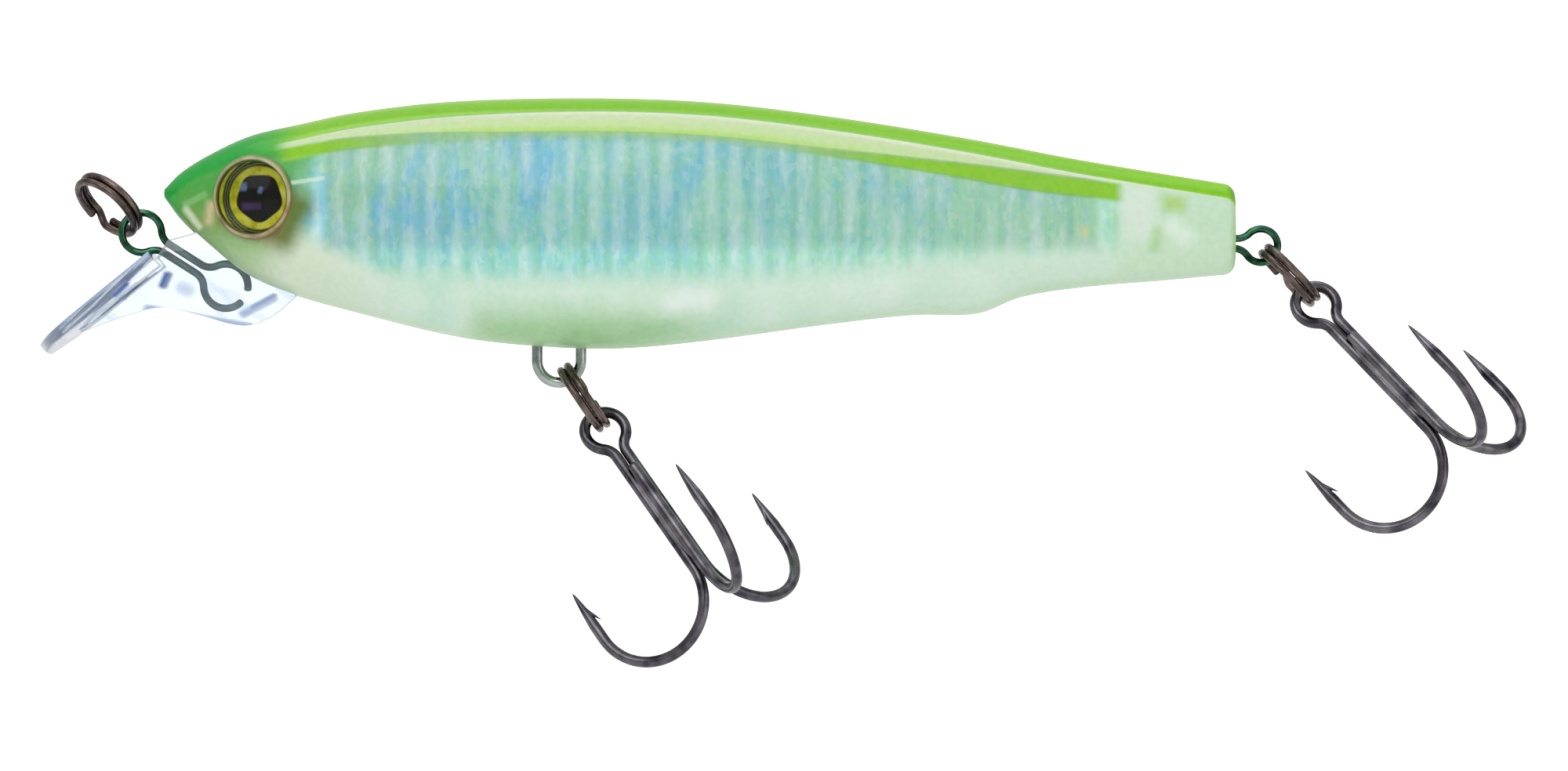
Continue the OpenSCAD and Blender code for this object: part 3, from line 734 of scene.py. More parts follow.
@dataclass(frozen=True)
class LipPlastic:
    """Water-clear plastic, bluer where its edges turn away, with painted blue reflections in
    patches, along its edges and in dark streaks.
    """

    name: str = "lip_clear"

    def build(self) -> bpy.types.Material:
        """Returns the material.

        Returns:
            The material.
        """
        n = Nodes(self.name)
        streaks = n.noise(420.0, 3.0, n.stretch(0.4, 0.35, 2.0, math.radians(-40)), 0.55)
        faint = n.step(streaks, 0.48, 0.66)
        # painted reflections: pale blue patches, blue lines along the edges and dark blue streaks
        # in the clear plastic
        pale_painted_reflection = n.most(n.times(n.spot(1.3, -6.3, (0.2, 0.05), -25.0, 0.9), 0.6),
                      n.spot(6.1, -7.4, (1.1, 0.02), 28.0, 0.5))
        rim = n.most(n.spot(2.2, -8.15, (3.4, 0.05), -10.0, 0.4),
                     n.spot(-3.6, -6.3, (3.6, 0.05), 40.0, 0.2))
        dark = n.most(n.spot(-2.5, -6.4, (0.5, 0.02), 48.0, 0.42),
                      n.spot(0.05, -5.7, (0.4, 0.02), 66.0, 0.4))
        dark = n.most(dark, n.times(n.spot(6.5, -7.05, (0.8, 0.04), 28.0, 0.2), 0.7))
        colour = n.mix(faint, "cfdcee", "b4c8e6")
        colour = n.mix(n.most(pale_painted_reflection, rim), colour, "9bb6e2")
        colour = n.mix(dark, colour, "2f5cab")
        edge = n.add("ShaderNodeLayerWeight", {"Blend": 0.35}).outputs["Facing"]
        body = n.surface(Base_Color=colour, Roughness=0.08, Coat_Weight=1.0, Coat_Roughness=0.02)
        clear = ClearCoat("f3f8fc", 0.03, 1.58).shader(n)
        share = n.most(n.times(faint, 0.25), n.times(n.step(edge, 0.3, 0.85), 0.85),
                       n.times(n.most(pale_painted_reflection, rim), 0.7), n.times(dark, 0.9), 0.14)
        return n.finish(n.add("ShaderNodeMixShader", {0: share, 1: clear, 2: body}).outputs[0])


@dataclass(frozen=True)
class IrisPrint:
    """Printed eye: black pupil, gold ring and dark border, with painted blue glints and a purple
    sheen on the pupil.
    """

    name: str = "iris_print"

    def build(self) -> bpy.types.Material:
        """Returns the material.

        Returns:
            The material.
        """
        n = Nodes(self.name)
        r, turn = n.measure("from_centre"), n.measure("round_centre")
        fleck = n.noise(1500.0, 4.0)
        wobble = n.times(n.calc("SINE", n.times(turn, 5.0)), 0.07)
        pupil = n.step(n.plus(r, wobble), 1.62, 1.48)
        gold = n.ramp(fleck, (0.3, "b8b21c"), (0.5, "efe62c"), (0.7, "f3ef7a"))
        rim = n.step(r, 1.98, 2.14)
        colour = n.mix(rim, gold, "26301a")
        colour = n.mix(n.step(r, 2.14, 2.26), colour, "8a8a4c")
        # painted highlights on the pupil: two blue glints, then a purple sheen below them
        glint = n.most(n.spot(5.3, 0.35, (0.12, 0.12), 0.0, 0.3),
                       n.times(n.spot(6.5, 0.1, (0.12, 0.05), 70.0, 0.2), 0.8))
        dark = n.mix(glint, "050508", "6f87c4")
        dark = n.mix(n.times(n.spot(5.9, -0.95, (0.5, 0.1), 0.0, 0.25), 0.6), dark, "5a3a86")
        colour = n.mix(pupil, colour, dark)
        return n.finish(n.surface(Base_Color=colour, Roughness=0.25, Metallic=n.times(rim, 0.3),
                                  Specular_IOR_Level=0.1))


@dataclass(frozen=True)
class EyeGlass:
    """Clear acrylic of the domed eye."""

    name: str = "eye_acrylic_clear"
    gloss_index: float = 1.22

    def build(self) -> bpy.types.Material:
        """Returns the material.

        Returns:
            The material.
        """
        n = Nodes(self.name)
        haze = n.noise(900.0, 2.0)
        tint = n.ramp(haze, (0.3, "eff3e4"), (0.7, "ffffff"))
        return n.finish(ClearCoat("ffffff", 0.02, self.gloss_index).shader(n, tint))


@dataclass(frozen=True)
class BezelPaint:
    """Smoky bronze rim round the eye, greener above, with painted shade making it browner below."""

    name: str = "bezel_smoke_and_shade"

    def build(self) -> bpy.types.Material:
        """Returns the material.

        Returns:
            The material.
        """
        n = Nodes(self.name)
        cloud, r = n.noise(700.0, 3.0), n.measure("from_centre")
        # painted shade: browner below the eye's axis and greener above, over the rim's smoky tint
        smoke = n.mix(n.step(n.height, 0.9, -0.9), "4f7a34", "80602e")
        smoke = n.mix(n.step(cloud, 0.4, 0.65, 0.6), smoke, "8f8a52")
        colour = n.mix(n.step(r, 2.48, 2.38), smoke, "454c22")
        ring = n.times(n.band(r, 2.5, 2.6, 0.07), n.step(cloud, 0.3, 0.55), 0.75)
        colour = n.mix(ring, colour, "bcae80")
        return n.finish(n.surface(Base_Color=colour, Roughness=0.3, Coat_Weight=0.8,
                                  Coat_Roughness=0.06))


@dataclass(frozen=True)
class Workshop:
    """The finishes of the lure, each built once."""

    shell: bpy.types.Material
    foil: bpy.types.Material
    lip: bpy.types.Material
    iris: bpy.types.Material
    dome: bpy.types.Material
    bezel: bpy.types.Material
    tie: bpy.types.Material
    hanger: bpy.types.Material
    ring: bpy.types.Material
    hook: bpy.types.Material
    braze: bpy.types.Material
    core: bpy.types.Material
    weight: bpy.types.Material
    tube: bpy.types.Material
    ball: bpy.types.Material

    @classmethod
    def open(cls) -> "Workshop":
        """Returns the finishes.

        Returns:
            The finishes.
        """
        return cls(shell=ShellPaint().build(), foil=Holographic().build(), lip=LipPlastic().build(),
                   iris=IrisPrint().build(), dome=EyeGlass().build(), bezel=BezelPaint().build(),
                   # painted reflection: the tie wire's green stands for the green body mirrored in
                   # the steel
                   tie=Steel("tie_wire", "4f8a6a", "12301f", 0.14).build(),
                   hanger=Steel("hanger_wire", "b9c2bd", "6d7a74", 0.18).build(),
                   ring=Steel("ring_black_nickel", "857670", "3b302e", 0.24).build(),
                   hook=Steel("hook_black_nickel", "77747a", "34323a", 0.2).build(),
                   braze=Steel("braze_tin", "a9a7ab", "66646a", 0.3).build(),
                   core=MouldedPlastic("core_white", "eef2ec", "dfe6de").build(),
                   weight=Steel("weight_tungsten", "8b8986", "5a5957", 0.42).build(),
                   tube=MouldedPlastic("tube_smoke", "dfe6e6", "c8d2d2", 0.2).build(),
                   ball=Steel("ball_bright", "d5d7da", "a9abb0", 0.1).build())


# ---------------------------------------------------------------- mesh work


Edges = list[bmesh.types.BMEdge]
Verts = list[bmesh.types.BMVert]


def ring_edges(verts: Iterable[bmesh.types.BMVert]) -> Edges:
    """Returns the edges that join two of the given vertices."""
    chosen = set(verts)
    return list({e for v in chosen for e in v.link_edges
                 if e.verts[0] in chosen and e.verts[1] in chosen})


def extrude_on(bm: bmesh.types.BMesh, edges: Edges, order: Verts) -> tuple[Edges, Verts]:
    """Extrudes a chain of edges and keeps its vertices in order.

    Args:
        bm: The mesh.
        edges: The chain's edges.
        order: Its vertices in order.

    Returns:
        The new edges, and the new vertices in the same order.
    """
    before = {v: tuple(v.co) for v in order}
    made = bmesh.ops.extrude_edge_only(bm, edges=edges)["geom"]
    fresh = {v for v in made if isinstance(v, bmesh.types.BMVert)}
    partner = {}
    for v in order:
        for e in v.link_edges:
            other = e.other_vert(v)
            if other in fresh and tuple(other.co) == before[v]:
                partner[v] = other
    verts = [partner[v] for v in order]
    return ring_edges(verts), verts


def loft(bm: bmesh.types.BMesh, stations: Sequence[Sequence[Vector]], closed: bool = True) -> None:
    """Builds a skin by extruding the first section through all the others.

    Args:
        bm: The mesh to add to.
        stations: Sections with the same number of points.
        closed: Whether each section is a closed loop.
    """
    verts = [bm.verts.new(p) for p in stations[0]]
    edges = [bm.edges.new((a, b)) for a, b in zip(verts, verts[1:])]
    if closed:
        edges.append(bm.edges.new((verts[-1], verts[0])))
        bm.faces.new(verts)
    for section in stations[1:]:
        edges, verts = extrude_on(bm, edges, verts)
        for v, p in zip(verts, section):
            v.co = p
    if closed:
        bm.faces.new(verts)


def sweep(bm: bmesh.types.BMesh, path: Sequence[Vector], radii: Sequence[float],
          sides: int = 16) -> None:
    """Draws a round wire along a path.

    Args:
        bm: The mesh to add to.
        path: Points in metres.
        radii: The wire's radius at each point, in metres.
        sides: Facets round the wire.
    """
    tangents = [(path[min(i + 1, len(path) - 1)] - path[max(i - 1, 0)]).normalized()
                for i in range(len(path))]
    across = tangents[0].orthogonal().normalized()
    frames = []
    for point, tangent, radius in zip(path, tangents, radii):
        across = (across - tangent * across.dot(tangent)).normalized()
        other = tangent.cross(across)
        turn = Matrix((across, other, tangent)).transposed().to_4x4()
        frames.append(Matrix.Translation(point) @ turn
                      @ Matrix.Diagonal((radius, radius, radius, 1)))
    made = bmesh.ops.create_circle(bm, cap_ends=True, radius=1.0, segments=sides)
    verts = made["verts"]
    bmesh.ops.transform(bm, matrix=frames[0], verts=verts)
    edges = ring_edges(verts)
    for last, here in zip(frames, frames[1:]):
        edges, verts = extrude_on(bm, edges, verts)
        bmesh.ops.transform(bm, matrix=here @ last.inverted(), verts=verts)
    bmesh.ops.contextual_create(bm, geom=edges)


def rounded_ends(path: list[Vector], radius: float) -> tuple[list[Vector], list[float]]:
    """Adds short shrinking stations at both ends of a wire.

    Args:
        path: Points in metres.
        radius: The wire's radius in metres.

    Returns:
        The longer path and its radii.
    """
    start, end = (path[0] - path[1]).normalized(), (path[-1] - path[-2]).normalized()
    steps = [(0.45, 0.93), (0.8, 0.7), (0.97, 0.3)]
    reach = radius * 0.6
    head = [(path[0] + start * reach * out, radius * share) for out, share in reversed(steps)]
    tail = [(path[-1] + end * reach * out, radius * share) for out, share in steps]
    rows = head + [(p, radius) for p in path] + tail
    return [p for p, _ in rows], [r for _, r in rows]


def placed(name: str, data: bpy.types.ID) -> bpy.types.Object:
    """Returns a new object of the scene that holds the data.

    Args:
        name: The object's name.
        data: Its mesh, light or camera.

    Returns:
        The object.
    """
    made = bpy.data.objects.new(name, data)
    bpy.context.scene.collection.objects.link(made)
    return made


def meshed(name: str, bm: bmesh.types.BMesh) -> bpy.types.Mesh:
    """Returns a worked mesh under a name and frees its working copy.

    Args:
        name: The mesh's name.
        bm: The working copy.

    Returns:
        The mesh.
    """
    mesh = bpy.data.meshes.new(name)
    bm.to_mesh(mesh)
    bm.free()
    return mesh


def store(mesh: bpy.types.Mesh, name: str, values: Sequence[float]) -> None:
    """Stores one number for each point of a mesh."""
    mesh.attributes.new(name, "FLOAT", "POINT").data.foreach_set("value", values)


def stamp(mesh: bpy.types.Mesh, name: str, rule: Callable[[float, float, float], float]) -> None:
    """Stores a number at each point of a mesh.

    Args:
        mesh: The mesh.
        name: The number's name.
        rule: Gives the number from x, y and z in millimetres from the nose tip.
    """
    store(mesh, name, [rule(*((v.co - NOSE) / MM)) for v in mesh.vertices])


def raise_piece(name: str, bm: bmesh.types.BMesh, material: bpy.types.Material, body: str,
                replaces: Sequence[str] = ()) -> bpy.types.Object:
    """Turns a worked mesh into a finished piece.

    Args:
        name: The piece's name.
        bm: Its mesh, in the frame.
        material: Its finish.
        body: The body that carries it.
        replaces: The construction nodes that it stands for.

    Returns:
        The piece.
    """
    bmesh.ops.remove_doubles(bm, verts=bm.verts, dist=WELD)
    bmesh.ops.recalc_face_normals(bm, faces=bm.faces)
    mesh = meshed(name, bm)
    piece = placed(name, mesh)
    mesh.materials.append(material)
    mesh.shade_smooth()
    mesh.set_sharp_from_angle(angle=math.radians(CREASE))
    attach(piece, body)
    if replaces:
        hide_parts(*replaces)
    LOG.info("%s rides on %s with %d faces", name, body, len(mesh.polygons))
    return piece


def carve(piece: bpy.types.Object, tool: bmesh.types.BMesh, operation: str) -> None:
    """Cuts or joins a closed tool mesh with a piece and keeps the result.

    Args:
        piece: The piece to change.
        tool: The closed mesh to use on it.
        operation: DIFFERENCE or UNION.
    """
    bmesh.ops.recalc_face_normals(tool, faces=tool.faces)
    mesh = meshed("tool", tool)
    cutter = placed("tool", mesh)
    change = piece.modifiers.new("carve", "BOOLEAN")
    change.operation, change.solver, change.object = operation, "EXACT", cutter
    settle(piece)
    bpy.data.objects.remove(cutter)
    bpy.data.meshes.remove(mesh)


def settle(piece: bpy.types.Object) -> None:
    """Replaces a piece's mesh by what its modifiers make of it.

    Args:
        piece: The piece.
    """
    shown = piece.evaluated_get(bpy.context.evaluated_depsgraph_get())
    mesh = bpy.data.meshes.new_from_object(shown)
    old, piece.data = piece.data, mesh
    mesh.name = piece.name
    piece.modifiers.clear()
    bpy.data.meshes.remove(old)


def soften(piece: bpy.types.Object, width: float, angle: float = 35.0, segments: int = 3) -> None:
    """Rounds a piece's sharp edges.

    Args:
        piece: The piece.
        width: Width of the rounding in metres.
        angle: Edges sharper than this, in degrees, are rounded.
        segments: Facets across the rounding.
    """
    edge = piece.modifiers.new("soften", "BEVEL")
    edge.width, edge.segments, edge.limit_method = width, segments, "ANGLE"
    edge.angle_limit = math.radians(angle)
    settle(piece)


def spun(degrees: float, axis: str) -> Matrix:
    """Returns a turn about an axis."""
    return Matrix.Rotation(math.radians(degrees), 4, axis)


def moved(x: float) -> Matrix:
    """Returns a move along x, given in millimetres."""
    return Matrix.Translation((x * MM, 0, 0))


def seated(spot: tuple[float, float]) -> Matrix:
    """Returns the move from the frame's origin to a place on the parting plane."""
    return Matrix.Translation(at(spot[0], 0, spot[1]))


def ray(degrees: float) -> Vector:
    """Returns the unit vector at an angle in the x-y plane."""
    return Vector((math.cos(math.radians(degrees)), math.sin(math.radians(degrees)), 0))


def plate(outline: Sequence[tuple[float, float]], half: float) -> bmesh.types.BMesh:
    """Returns a flat plate in the x-z plane.

    Args:
        outline: Its corners, x and z in millimetres.
        half: Half its thickness in millimetres.

    Returns:
        The closed mesh.
    """
    bm = bmesh.new()
    face = bm.faces.new([bm.verts.new(at(x, -half, z)) for x, z in outline])
    made = bmesh.ops.extrude_face_region(bm, geom=[face])["geom"]
    bmesh.ops.translate(bm, verts=[v for v in made if isinstance(v, bmesh.types.BMVert)],
                        vec=(0, 2 * half * MM, 0))
    bmesh.ops.recalc_face_normals(bm, faces=bm.faces)
    return bm


# ---------------------------------------------------------------- body and foil


@dataclass
class EyeSeat:
    """Place and sizes of an eye on one cheek, in millimetres."""

    side: Side
    x: float = 6.1
    z: float = -0.4
    diameter: float = 4.6
    socket_depth: float = 1.5
    turn: float = 15.0
    gap: float = 0.05

    def matrix(self) -> Matrix:
        """Returns the frame of the eye: z out of the cheek, in metres.

        Returns:
            The frame.
        """
        cheek = BODY.flank(self.x, self.z)
        place = Matrix.Translation(at(self.x, -cheek, self.z))
        turn = spun(-self.turn, "Z") @ spun(90, "X")
        whole = place @ turn
        return whole if self.side is Side.LEFT else Matrix.Diagonal((1, -1, 1, 1)) @ whole

    def spin(self, profile: Sequence[tuple[float, float]], steps: int = 64,
             closed: bool = False) -> bmesh.types.BMesh:
        """Turns a profile about the eye's axis.

        Args:
            profile: Radius and height along the axis, in millimetres.
            steps: Facets round the axis.
            closed: Whether the profile is a loop clear of the axis.

        Returns:
            The mesh, placed on the cheek.
        """
        bm = bmesh.new()
        verts = [bm.verts.new((r * MM, 0, h * MM)) for r, h in profile]
        edges = [bm.edges.new(pair) for pair in zip(verts, verts[1:])]
        if closed:
            edges.append(bm.edges.new((verts[-1], verts[0])))
        bmesh.ops.spin(bm, geom=verts + edges, cent=(0, 0, 0), axis=(0, 0, 1), angle=2 * math.pi,
                       steps=steps,
                       use_merge=True)
        bmesh.ops.remove_doubles(bm, verts=bm.verts, dist=WELD)
        bmesh.ops.transform(bm, matrix=self.matrix(), verts=bm.verts)
        bmesh.ops.recalc_face_normals(bm, faces=bm.faces)
        return bm

    def socket_tool(self) -> bmesh.types.BMesh:
        """Returns the cutter of the socket."""
        r, d = self.diameter / 2 + self.gap, self.socket_depth
        return self.spin(((0, -d), (r, -d), (r, d), (0, d)))


@dataclass
class HalfShell:
    """One moulded half of the body: painted skin, wall and parting face."""

    side: Side
    finishes: Workshop
    arc_steps: int = 40
    station_pitch: float = 0.55
    seam: float = 0.05
    keel_half: float = 1.05
    seam_angle: float = 0.03
    nose_steps: int = 22
    nose_ease: float = 1.6
    stock_steps: int = 10

    def stations(self) -> list[float]:
        """Returns the places of the sections, close together at both ends.

        Returns:
            Distances behind the nose tip.
        """
        b = BODY
        nose = [b.hollow_start * (i / self.nose_steps) ** self.nose_ease
                for i in range(self.nose_steps)]
        count = int((b.hollow_end - b.hollow_start) / self.station_pitch)
        hollow = [b.hollow_start + (b.hollow_end - b.hollow_start) * i / count
                  for i in range(count + 1)]
        rear, steps = b.length - b.tail_round, self.stock_steps
        stock = [b.hollow_end + (rear - b.hollow_end) * i / steps for i in range(1, steps)]
        edge = [rear + b.tail_round * math.sin(math.radians(a)) for a in range(0, 91, 15)]
        return nose + hollow + stock + edge

    def section(self, x: float) -> list[Vector]:
        """Returns the closed section of the half at x, skin first and then the inside.

        Args:
            x: Distance behind the nose tip.

        Returns:
            Its points.
        """
        between = [math.pi * i / self.arc_steps for i in range(1, self.arc_steps)]
        angles = [0.0, self.seam_angle] + between + [math.pi - self.seam_angle, math.pi]
        outer = [BODY.section(x, a) for a in angles]
        slim = min(self.seam, 0.1 * (BODY.top(x) - BODY.bottom(x)))
        outer[0] = (0.0, outer[0][1] - slim)
        outer[-1] = (0.0, outer[-1][1] + slim)
        wall = BODY.wall_at(x)
        inner = [BODY.section(x, a, wall) for a in angles]
        if not BODY.hollow_start < x < BODY.hollow_end:
            inner = [(0.0, z) for _, z in inner]
        return [at(x, self.side.value * y, z) for y, z in outer + inner[::-1]]

    def jaw_slot(self) -> bmesh.types.BMesh:
        """Returns the cutter that seats the lip's tongue."""
        return plate(((-1, -3.05), (0.3, -3.05), (2.1, -2.55), (4.6, -3.65), (8.65, -5.35),
                      (8.65, -9.5), (-1, -9.5)),
                     self.keel_half)

    def build(self) -> bpy.types.Object:
        """Returns the finished half.

        Returns:
            The piece.
        """
        bm = bmesh.new()
        loft(bm, [self.section(x) for x in self.stations()])
        bmesh.ops.remove_doubles(bm, verts=bm.verts, dist=WELD)
        name = f"shell_{self.side.word}"
        piece = raise_piece(name, bm, self.finishes.shell, ROOT_BODY,
                            [f"body_{self.side.word}"])
        carve(piece, EyeSeat(self.side).socket_tool(), "DIFFERENCE")
        carve(piece, self.jaw_slot(), "DIFFERENCE")
        piece.data.set_sharp_from_angle(angle=math.radians(CREASE))
        stamp(piece.data, "below_back", lambda x, y, z: BODY.top(BODY.within(x)) - z)
        stamp(piece.data, "above_belly", lambda x, y, z: z - BODY.bottom(BODY.within(x)))
        return piece


@dataclass
class FoilPlate:
    """Pressed foil behind one clear flank, with upright ribs."""

    side: Side
    finishes: Workshop
    start: float = 10.35
    end: float = 61.4
    top_margin: float = 2.1
    low: float = -4.9
    low_margin: float = 1.9
    gap: float = 0.24
    thickness: float = 0.25
    rib_pitch: float = 1.5
    rib_height: float = 0.14
    rib_fade: float = 1.2
    rows: int = 26
    per_rib: int = 8

    def row(self, x: float) -> list[Vector]:
        """Returns the closed section of the plate at x.

        Args:
            x: Distance behind the nose tip.

        Returns:
            Its points.
        """
        top = BODY.top(x) - self.top_margin
        low = max(self.low, BODY.bottom(x) + self.low_margin)
        rib = self.rib_height * (0.5
                                 + 0.5 * math.cos(2 * math.pi * (x - self.start) / self.rib_pitch))
        points = []
        for k, depth in ((1, 0.0), (-1, self.thickness)):
            heights = [low + (top - low) * i / self.rows for i in range(self.rows + 1)][::k]
            for z in heights:
                edge = min(1.0, (top - z) / self.rib_fade, (z - low) / self.rib_fade)
                lift = rib * max(0.0, edge)
                y = BODY.flank(x, z, BODY.wall) - self.gap - self.rib_height + lift - depth
                points.append(at(x, self.side.value * y, z))
        return points

    def build(self) -> bpy.types.Object:
        """Returns the finished plate.

        Returns:
            The piece.
        """
        count = int((self.end - self.start) / self.rib_pitch * self.per_rib)
        bm = bmesh.new()
        loft(bm, [self.row(self.start + (self.end - self.start) * i / count)
                  for i in range(count + 1)])
        return raise_piece(f"foil_plate_{self.side.word}", bm, self.finishes.foil, ROOT_BODY,
                           [f"foil_{self.side.word}"])


@dataclass
class DomedEye:
    """Printed iris, clear dome and raised bezel of one eye."""

    side: Side
    finishes: Workshop
    iris_thickness: float = 0.2
    dome_rise: float = 0.75
    bezel_width: float = 0.34
    bezel_rise: float = 0.26
    iris_gap: float = 0.05
    rings: int = 24

    def measure(self, piece: bpy.types.Object, seat: EyeSeat) -> None:
        """Stores how far from and where round the eye's axis each point lies.

        Args:
            piece: The piece.
            seat: The eye's place.
        """
        back = seat.matrix().inverted()
        spots = [back @ v.co / MM for v in piece.data.vertices]
        store(piece.data, "from_centre", [math.hypot(p.x, p.y) for p in spots])
        store(piece.data, "round_centre", [math.atan2(p.y, p.x) for p in spots])

    def build(self) -> list[bpy.types.Object]:
        """Returns the three pieces of the eye.

        Returns:
            The three pieces of the eye.
        """
        seat = EyeSeat(self.side)
        r, word = seat.diameter / 2, self.side.word
        base = 0.02 - seat.socket_depth
        face = base + self.iris_thickness
        steps = [r * i / self.rings for i in range(self.rings + 1)]
        iris_r = r - self.iris_gap
        iris = seat.spin([(0, base), (iris_r, base)]
                         + [(min(s, iris_r), face) for s in reversed(steps)])
        printed = raise_piece(f"iris_{word}", iris, self.finishes.iris, ROOT_BODY,
                              [f"eye_foil_{word}"])
        self.measure(printed, seat)
        cap = (r * r + self.dome_rise ** 2) / (2 * self.dome_rise)
        arc = [(s, math.sqrt(cap * cap - s * s) - cap + self.dome_rise) for s in reversed(steps)]
        glass = seat.spin([(0, face + 0.02), (r, face + 0.02)] + arc)
        dome = raise_piece(f"dome_{word}", glass, self.finishes.dome, ROOT_BODY,
                           [f"eye_dome_{word}"])
        inner, outer, top = r + seat.gap, r + seat.gap + self.bezel_width, self.bezel_rise
        loop = [(inner, -1.3), (outer - 0.05, -0.8), (outer + 0.08, -0.1), (outer - 0.01, 0.1),
                (outer - 0.09, top - 0.06),
                (outer - 0.17, top), (inner + 0.1, top), (inner + 0.03, top - 0.05),
                (inner, top - 0.14)]
        rim = raise_piece(f"bezel_{word}", seat.spin(loop, closed=True), self.finishes.bezel,
                          ROOT_BODY)
        self.measure(rim, seat)
        return [printed, dome, rim]


@dataclass
class DivingLip:
    """Clear blade and keel, moulded in one."""

    finishes: Workshop
    length: float = 9.3
    width: float = 9.4
    thickness: float = 1.2
    slope: float = 40.0
    root: tuple[float, float] = (-0.5, -4.35)
    keel: float = 2.0
    keel_rear: float = 8.6
    keel_front: float = -5.4
    keel_steps: int = 28
    edge_round: float = 0.22
    cup: float = 0.22
    thinning: float = 0.45

    def keel_outline(self) -> list[tuple[float, float]]:
        """Returns the keel's profile.

        Returns:
            The keel's profile.
        """
        low = Outline(((self.keel_front, -9.1), (-2.7, -8.1), (-0.2, -7.5), (2.3, -8.0),
                       (5.2, -8.7), (7.0, -8.1),
                       (self.keel_rear, -6.8)))
        long, steps = self.keel_rear - self.keel_front, self.keel_steps
        under = [self.keel_front + long * i / steps for i in range(steps, -1, -1)]
        top = [self.root, (0.3, -3.1), (2.1, -2.6), (4.6, -3.7), (self.keel_rear, -5.4)]
        return top + [(x, low.value(x)) for x in under]

    def blade(self) -> bmesh.types.BMesh:
        """Returns the blade, thinned and slightly cupped towards its tip.

        Returns:
            The blade.
        """
        bm = bmesh.new()
        across, along = 12, 22
        tilt = seated(self.root) @ spun(180, "Z") @ spun(self.slope, "Y")
        rows = []
        for i in range(along + 1):
            t = i / along
            half = BLADE.value(t) * self.width / 2
            thick = self.thickness / 2 * (1.0 - self.thinning * t)
            sides = [half * math.sin(math.pi / 2 * k / across) for k in range(-across, across + 1)]
            rim = [min(1.0, math.sqrt(max(0.02, 1 - (s / half) ** 2)) * 2.4) for s in sides]
            cup = [self.cup * t * (s / half) ** 2 for s in sides]
            upper = [(s, thick * r + c) for s, r, c in zip(sides, rim, cup)]
            lower = [(s, -thick * r + c) for s, r, c in zip(sides, rim, cup)][::-1]
            rows.append([tilt @ (Vector((self.length * t, s, h)) * MM) for s, h in upper + lower])
        loft(bm, rows)
        bmesh.ops.recalc_face_normals(bm, faces=bm.faces)
        return bm

    def build(self) -> bpy.types.Object:
        """Returns the finished lip.

        Returns:
            The piece.
        """
        bm = plate(self.keel_outline(), self.keel / 2)
        piece = raise_piece("lip", bm, self.finishes.lip, ROOT_BODY, ["diving_lip"])
        carve(piece, self.blade(), "UNION")
        soften(piece, self.edge_round * MM, CREASE)
        piece.data.shade_smooth()
        piece.data.set_sharp_from_angle(angle=math.radians(50))
        return piece


# ---------------------------------------------------------------- wire forms


BLEND_R = 1.1


def arc(cx: float, cy: float, r: float, start: float, end: float,
        steps: int) -> list[tuple[float, float]]:
    """Returns points round part of a circle.

    Args:
        cx: Centre along the first axis.
        cy: Centre along the second axis.
        r: Radius.
        start: First angle in degrees.
        end: Last angle in degrees, left out.
        steps: Number of points.

    Returns:
        The points.
    """
    turns = [math.radians(start + (end - start) * i / steps) for i in range(steps)]
    return [(cx + r * math.cos(a), cy + r * math.sin(a)) for a in turns]


def blend_x(r: float, half_gap: float) -> float:
    """Returns where an eye's blends reach its strands."""
    return math.sqrt((r + BLEND_R) ** 2 - (half_gap + BLEND_R) ** 2)


def blend_angle(r: float, half_gap: float) -> float:
    """Returns the angle, in degrees, at which the blends leave the eye."""
    return math.degrees(math.atan2(half_gap + BLEND_R, blend_x(r, half_gap)))


def eye_loop(r: float, half_gap: float) -> list[tuple[float, float]]:
    """Returns a wire eye at the origin, entered and left along two strands.

    Args:
        r: The eye's radius.
        half_gap: Half the distance between the strands.

    Returns:
        Its points.
    """
    x, a, y = blend_x(r, half_gap), blend_angle(r, half_gap), half_gap + BLEND_R
    return (arc(x, y, BLEND_R, -90, a - 180, 10) + arc(0, 0, r, a, 360 - a, 48)
            + arc(x, -y, BLEND_R, 180 - a, 90, 10) + [(x, -half_gap)])


def bend_wire(name: str, node: str, path: list[Vector], wire: float,
              material: bpy.types.Material) -> bpy.types.Object:
    """Makes a hanger of round wire that sits in the body.

    Args:
        name: The piece's name.
        node: The construction node that it stands for.
        path: The wire's centreline in the frame.
        wire: The wire's thickness in millimetres.
        material: Its finish.

    Returns:
        The piece.
    """
    bm = bmesh.new()
    sweep(bm, *rounded_ends(path, wire / 2 * MM))
    return raise_piece(name, bm, material, ROOT_BODY, [node])


